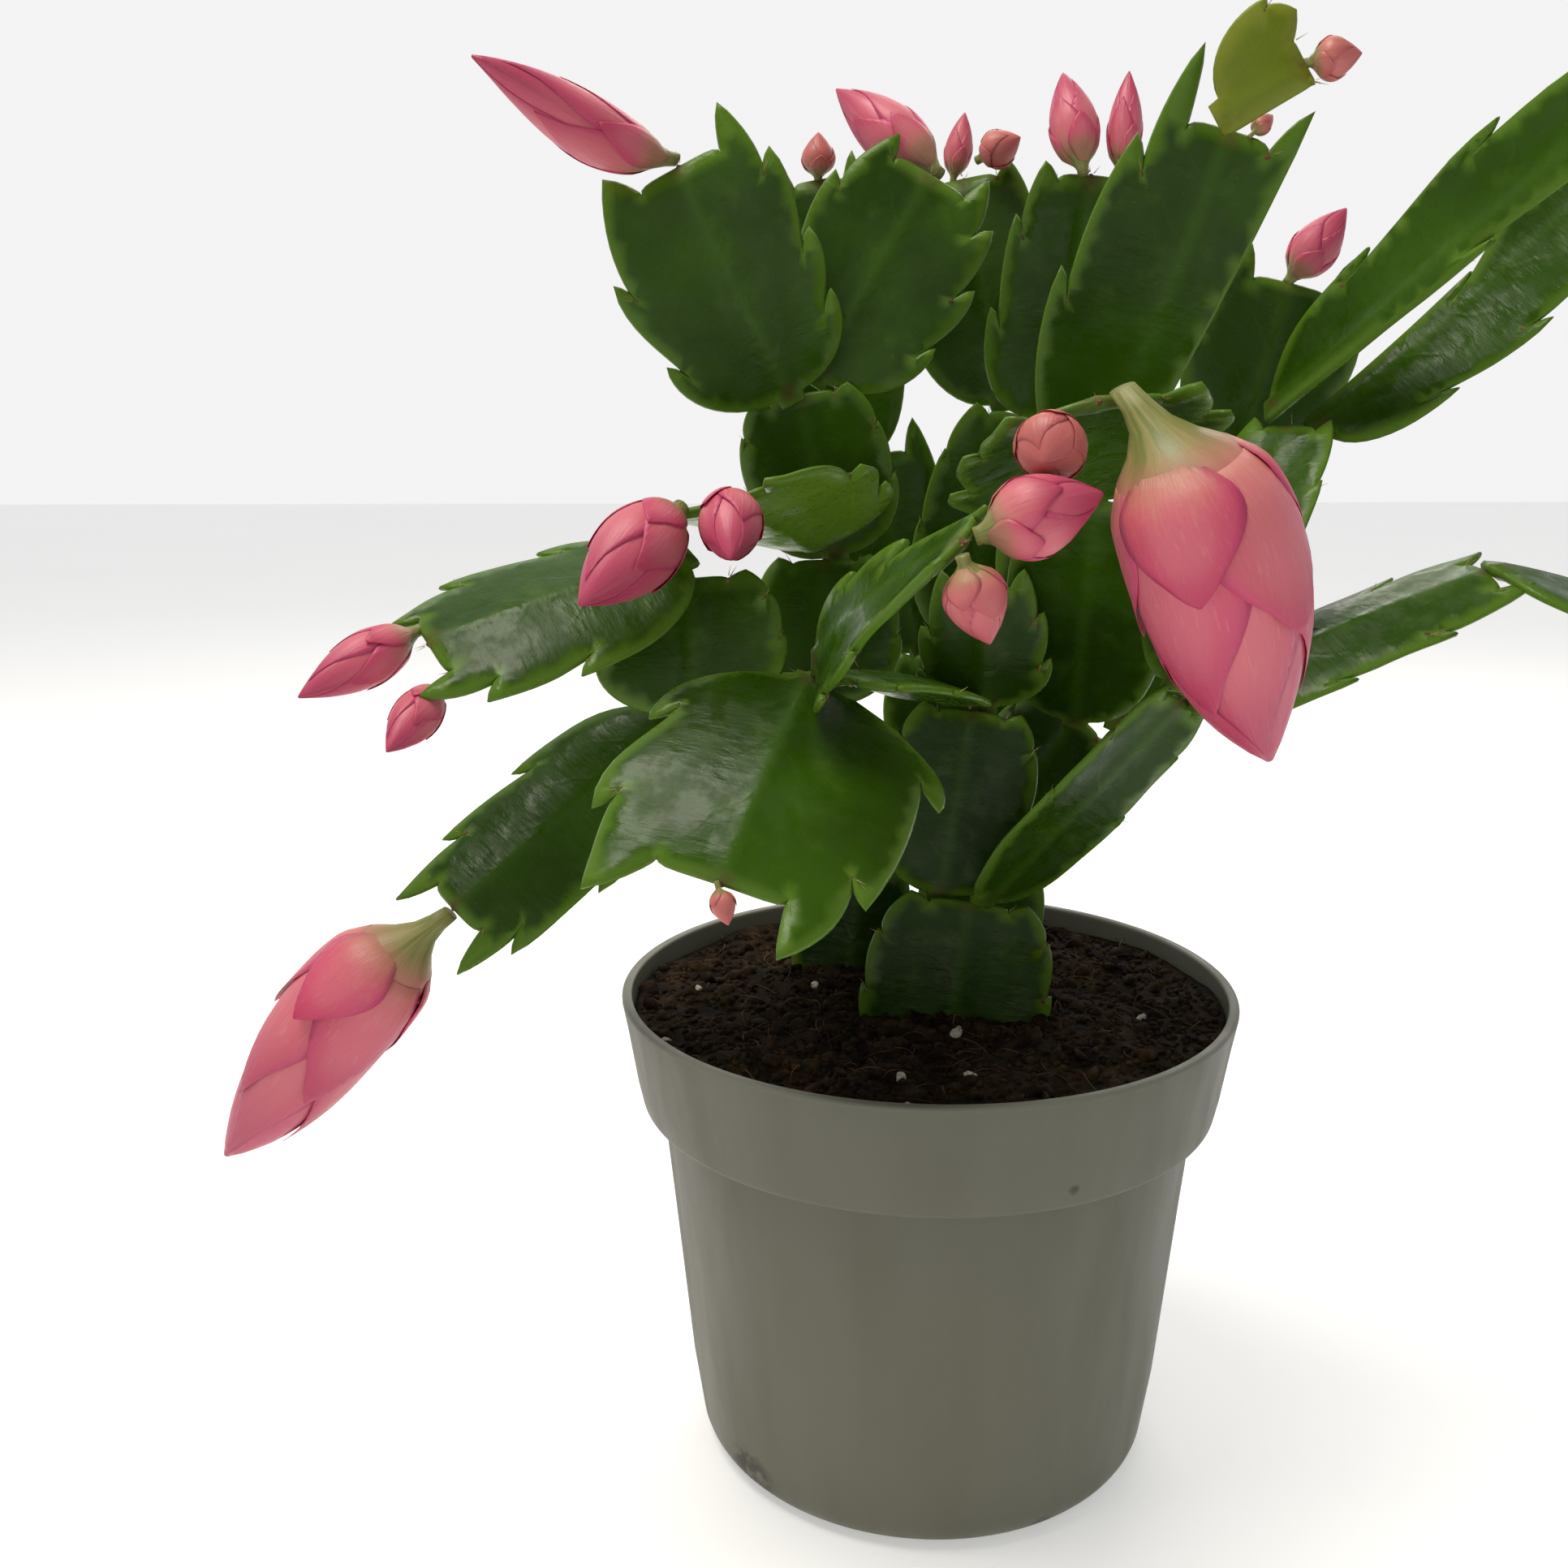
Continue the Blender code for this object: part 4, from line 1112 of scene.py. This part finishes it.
def make_pot(material):
    outline = pot_outline()
    links = [(index, index + 1) for index in range(len(outline) - 1)]
    section = new_mesh("nursery_pot", [(radius, 0.0, height) for radius, height in outline], links)
    pot = put("nursery_pot", section)
    run_rule(pot, lathe_rule(), Points=len(outline), Sides=POT_SIDES, Material=material)
    turn_outwards(pot.data)
    drill = make_drill()
    cut = pot.modifiers.new("drain_holes", "BOOLEAN")
    cut.operation = "DIFFERENCE"
    cut.solver = "EXACT"
    cut.object = drill
    settle(pot)
    bpy.data.objects.remove(drill, do_unlink=True)
    pot.data.shade_smooth()
    pot.data.set_sharp_from_angle(angle=math.radians(40.0))
    hand_over(pot, "pot_plastic", "pot")


# ---- peat -------------------------------------------------------------------------------------
def peat_height(x, y):
    """Pressed and watered peat: broad hollows with a lumpy top."""
    broad = 0.5 * math.sin(x * 0.16 + 0.8) * math.cos(y * 0.19 - 0.4)
    lumps = noise.fractal(Vector((x / 7.0, y / 7.0, 3.0)), 0.9, 2.1, 4)
    rim = smooth_step(0.0, 5.0, inner_radius(SOIL_LEVEL) - math.hypot(x, y))
    return SOIL_LEVEL + broad + (0.3 + 0.9 * rim) * lumps


def make_peat(material):
    """The peat body, and the points and faces of its bare top."""
    shoulder = POT_HEIGHT - COLLAR_HEIGHT
    top = inner_radius(SOIL_LEVEL) - SOIL_GAP
    profile = [(0.0, FLOOR + 0.4), (BASE_RADIUS - BASE_ROUND - 0.5, FLOOR + 0.4),
               (inner_radius(BASE_ROUND + 2.0) - 0.7, BASE_ROUND + 2.0),
               (inner_radius(shoulder - 1.5) - 0.5, shoulder - 1.3),
               (COLLAR_FOOT_RADIUS - WALL - 0.5, shoulder + 0.4)]
    below = len(profile)
    profile += [(top * (1.0 - ring / SOIL_RINGS), SOIL_LEVEL) for ring in range(SOIL_RINGS)]
    profile.append((0.0, SOIL_LEVEL))
    verts = []
    rings = []
    for index, (radius, height) in enumerate(profile):
        sides = 1 if radius == 0.0 else SOIL_SIDES
        rings.append([len(verts) + side for side in range(sides)])
        for side in range(sides):
            angle = 2.0 * math.pi * side / SOIL_SIDES
            x = radius * math.cos(angle)
            y = radius * math.sin(angle)
            verts.append((x, y, height if index < below else peat_height(x, y)))
    faces = []
    for index in range(len(rings) - 1):
        low, high = rings[index], rings[index + 1]
        for side in range(SOIL_SIDES):
            after = (side + 1) % SOIL_SIDES
            if len(low) == 1:
                faces.append((low[0], high[after], high[side]))
            elif len(high) == 1:
                faces.append((low[side], low[after], high[0]))
            else:
                faces.append((low[side], low[after], high[after], high[side]))
    peat = add_piece("peat_bed", verts, faces, material)
    first = rings[below + 1][0]
    skin_verts = verts[first:]
    skin_faces = [tuple(index - first for index in face) for face in faces if min(face) >= first]
    return peat, (skin_verts, skin_faces)


def strew_peat(surface):
    """Crumbs, clods, perlite and fibres over the peat's top."""
    crumb = matt_finish("peat_crumb", (0.007, 0.0042, 0.0024), (0.046, 0.027, 0.014))
    fibre = matt_finish("peat_fibre", (0.05, 0.030, 0.015), (0.16, 0.10, 0.05))
    for name, shape, material, density, seed, smallest, largest, tilt in (
            ("peat_crumbs", crumb_shape(1), crumb, 480000.0, 11,
             (0.3, 0.3, 0.25), (0.95, 0.8, 0.7), 1.5),
            ("peat_clods", crumb_shape(2), crumb, 42000.0, 8,
             (0.9, 0.8, 0.5), (2.0, 1.5, 1.1), 0.8),
            ("perlite_grains", crumb_shape(3), perlite_finish(), 2600.0, 5,
             (0.5, 0.5, 0.4), (1.4, 1.2, 1.1), 1.5),
            ("peat_fibres", fibre_shape, fibre, 32000.0, 3,
             (0.4, 0.4, 0.3), (1.1, 1.1, 1.0), 0.45)):
        thing = add_piece(name, *surface, material)
        run_rule(thing, scatter_rule(name, shape), Density=density, Seed=seed,
                 Smallest=smallest, Largest=largest, Tilt=tilt, Material=material)
        thing.data.shade_smooth()
        hand_over(thing, "peat")


def dress_notches(seats):
    """A pad of wool and a few bristles in every notch and at every tip."""
    chance = random.Random(7)
    bristles = []
    for seat, away, old in seats:
        for _ in range(2 if old else 4):
            lean = Vector((chance.uniform(-1, 1), chance.uniform(-1, 1), chance.uniform(-1, 1)))
            way = (away + lean * 0.55).normalized()
            bristles.append((seat + way * 0.7, way))
    tufts = [(seat, away) for seat, away, _ in seats]
    bristle = matt_finish("bristle", (0.30, 0.20, 0.10), (0.45, 0.34, 0.20), 0.6)
    wool = matt_finish("areole_wool", (0.10, 0.055, 0.025), (0.22, 0.14, 0.07), 0.95)
    for name, points, shape, material, seed, smallest, largest in (
            ("areole_bristles", bristles, bristle_shape, bristle, 4, 0.5, 1.2),
            ("areole_wool", tufts, crumb_shape(1), wool, 6, 0.32, 0.6)):
        mesh = new_mesh(name, [place for place, _ in points])
        mark_points(mesh, "out", [away for _, away in points])
        mesh.materials.append(material)
        thing = put(name, mesh)
        run_rule(thing, plant_rule(name, shape), Seed=seed, Smallest=smallest, Largest=largest,
                 Material=material)
        hand_over(thing, "segment_green")


# ---- stage ------------------------------------------------------------------------------------
def add_light(name, place, size, power):
    """A warm round lamp, aimed at the middle of the plant; place and size in metres."""
    lamp = bpy.data.lights.new(name, "AREA")
    lamp.shape = "DISK"
    lamp.size = size
    lamp.energy = power
    lamp.color = WARM
    thing = put(name, lamp)
    thing.location = place
    way = Vector(LIT_MIDDLE) - Vector(place)
    thing.rotation_euler = way.to_track_quat("-Z", "Y").to_euler()


def add_camera():
    eye = bpy.data.cameras.new("camera")
    eye.sensor_width = 36.0
    eye.lens = LENS
    eye.clip_start = 0.005
    camera = put("camera", eye)
    slope = math.radians(VIEW_ELEVATION)
    ahead = Vector((0.0, math.cos(slope), -math.sin(slope)))
    right = Vector((1.0, 0.0, 0.0))
    frame_axes = [right, right.cross(ahead), ahead]
    for angle, about in ((VIEW_YAW, 1), (VIEW_PITCH, 0), (VIEW_ROLL, 2)):
        turn = Matrix.Rotation(math.radians(angle), 3, frame_axes[about])
        frame_axes = [turn @ axis for axis in frame_axes]
    right, upward, ahead = frame_axes
    reach = VIEW_DISTANCE * math.cos(slope)
    rise = POT_HEIGHT + VIEW_DISTANCE * math.sin(slope)
    pose = Matrix((right, upward, -ahead)).transposed().to_4x4()
    camera.matrix_world = Matrix.Translation(Vector((0.0, -reach, rise)) * MM) @ pose
    bpy.context.scene.camera = camera


def add_sky():
    """White all round, brighter behind the plant and below than in front and above."""
    world = bpy.data.worlds.new("studio")
    world.use_nodes = True
    sky = Nodes(world.node_tree)
    way = sky.node("ShaderNodeTexCoord").outputs["Generated"]
    parts = sky.node("ShaderNodeSeparateXYZ", Vector=way).outputs
    level = sky.node("ShaderNodeMapRange", Value=sky.math("MULTIPLY_ADD", parts["Z"], -0.8, parts["Y"]),
                     From_Min=-0.6, From_Max=0.5, To_Min=0.34, To_Max=0.90)
    back = world.node_tree.nodes["Background"]
    sky.feed(back.inputs["Strength"], level.outputs[0])
    sky.feed(back.inputs["Color"], WHITE)
    bpy.context.scene.world = world


def set_stage():
    add_camera()
    bpy.ops.mesh.primitive_plane_add(size=6.0, location=(0.0, 0.0, 0.0))
    floor = bpy.context.object
    floor.name = "floor"
    floor.data.materials.append(floor_finish())
    add_sky()
    bpy.context.scene.view_settings.view_transform = "Standard"
    add_light("overhead_light", (-0.20, -0.10, 0.75), 0.40, 4.6)
    add_light("fill_light", (-0.15, -0.70, 0.30), 0.6, 0.55)
    add_light("back_light", (0.1, 0.6, 0.6), 0.5, 1.4)


def main():
    set_stage()
    greens = {name: segment_finish(name, *tints) for name, tints in GREENS.items()}
    pink = petal_finish()
    blades = grow_blades()
    seats = []
    for number, (name, blade) in enumerate(blades.items()):
        green = "young_green" if name == "young_segment" else "segment_green"
        hand_over(make_segment(name, number, blade, greens[green], seats), green, name)
    for number, (name, row) in enumerate(BUDS.items()):
        hand_over(make_bud(name, number, row, blades, pink), "bud_pink", name)
    dress_notches(seats)
    make_pot(pot_finish())
    peat, surface = make_peat(matt_finish("peat", (0.006, 0.0038, 0.0022), (0.028, 0.017, 0.009)))
    hand_over(peat, "peat", "soil")
    strew_peat(surface)


main()
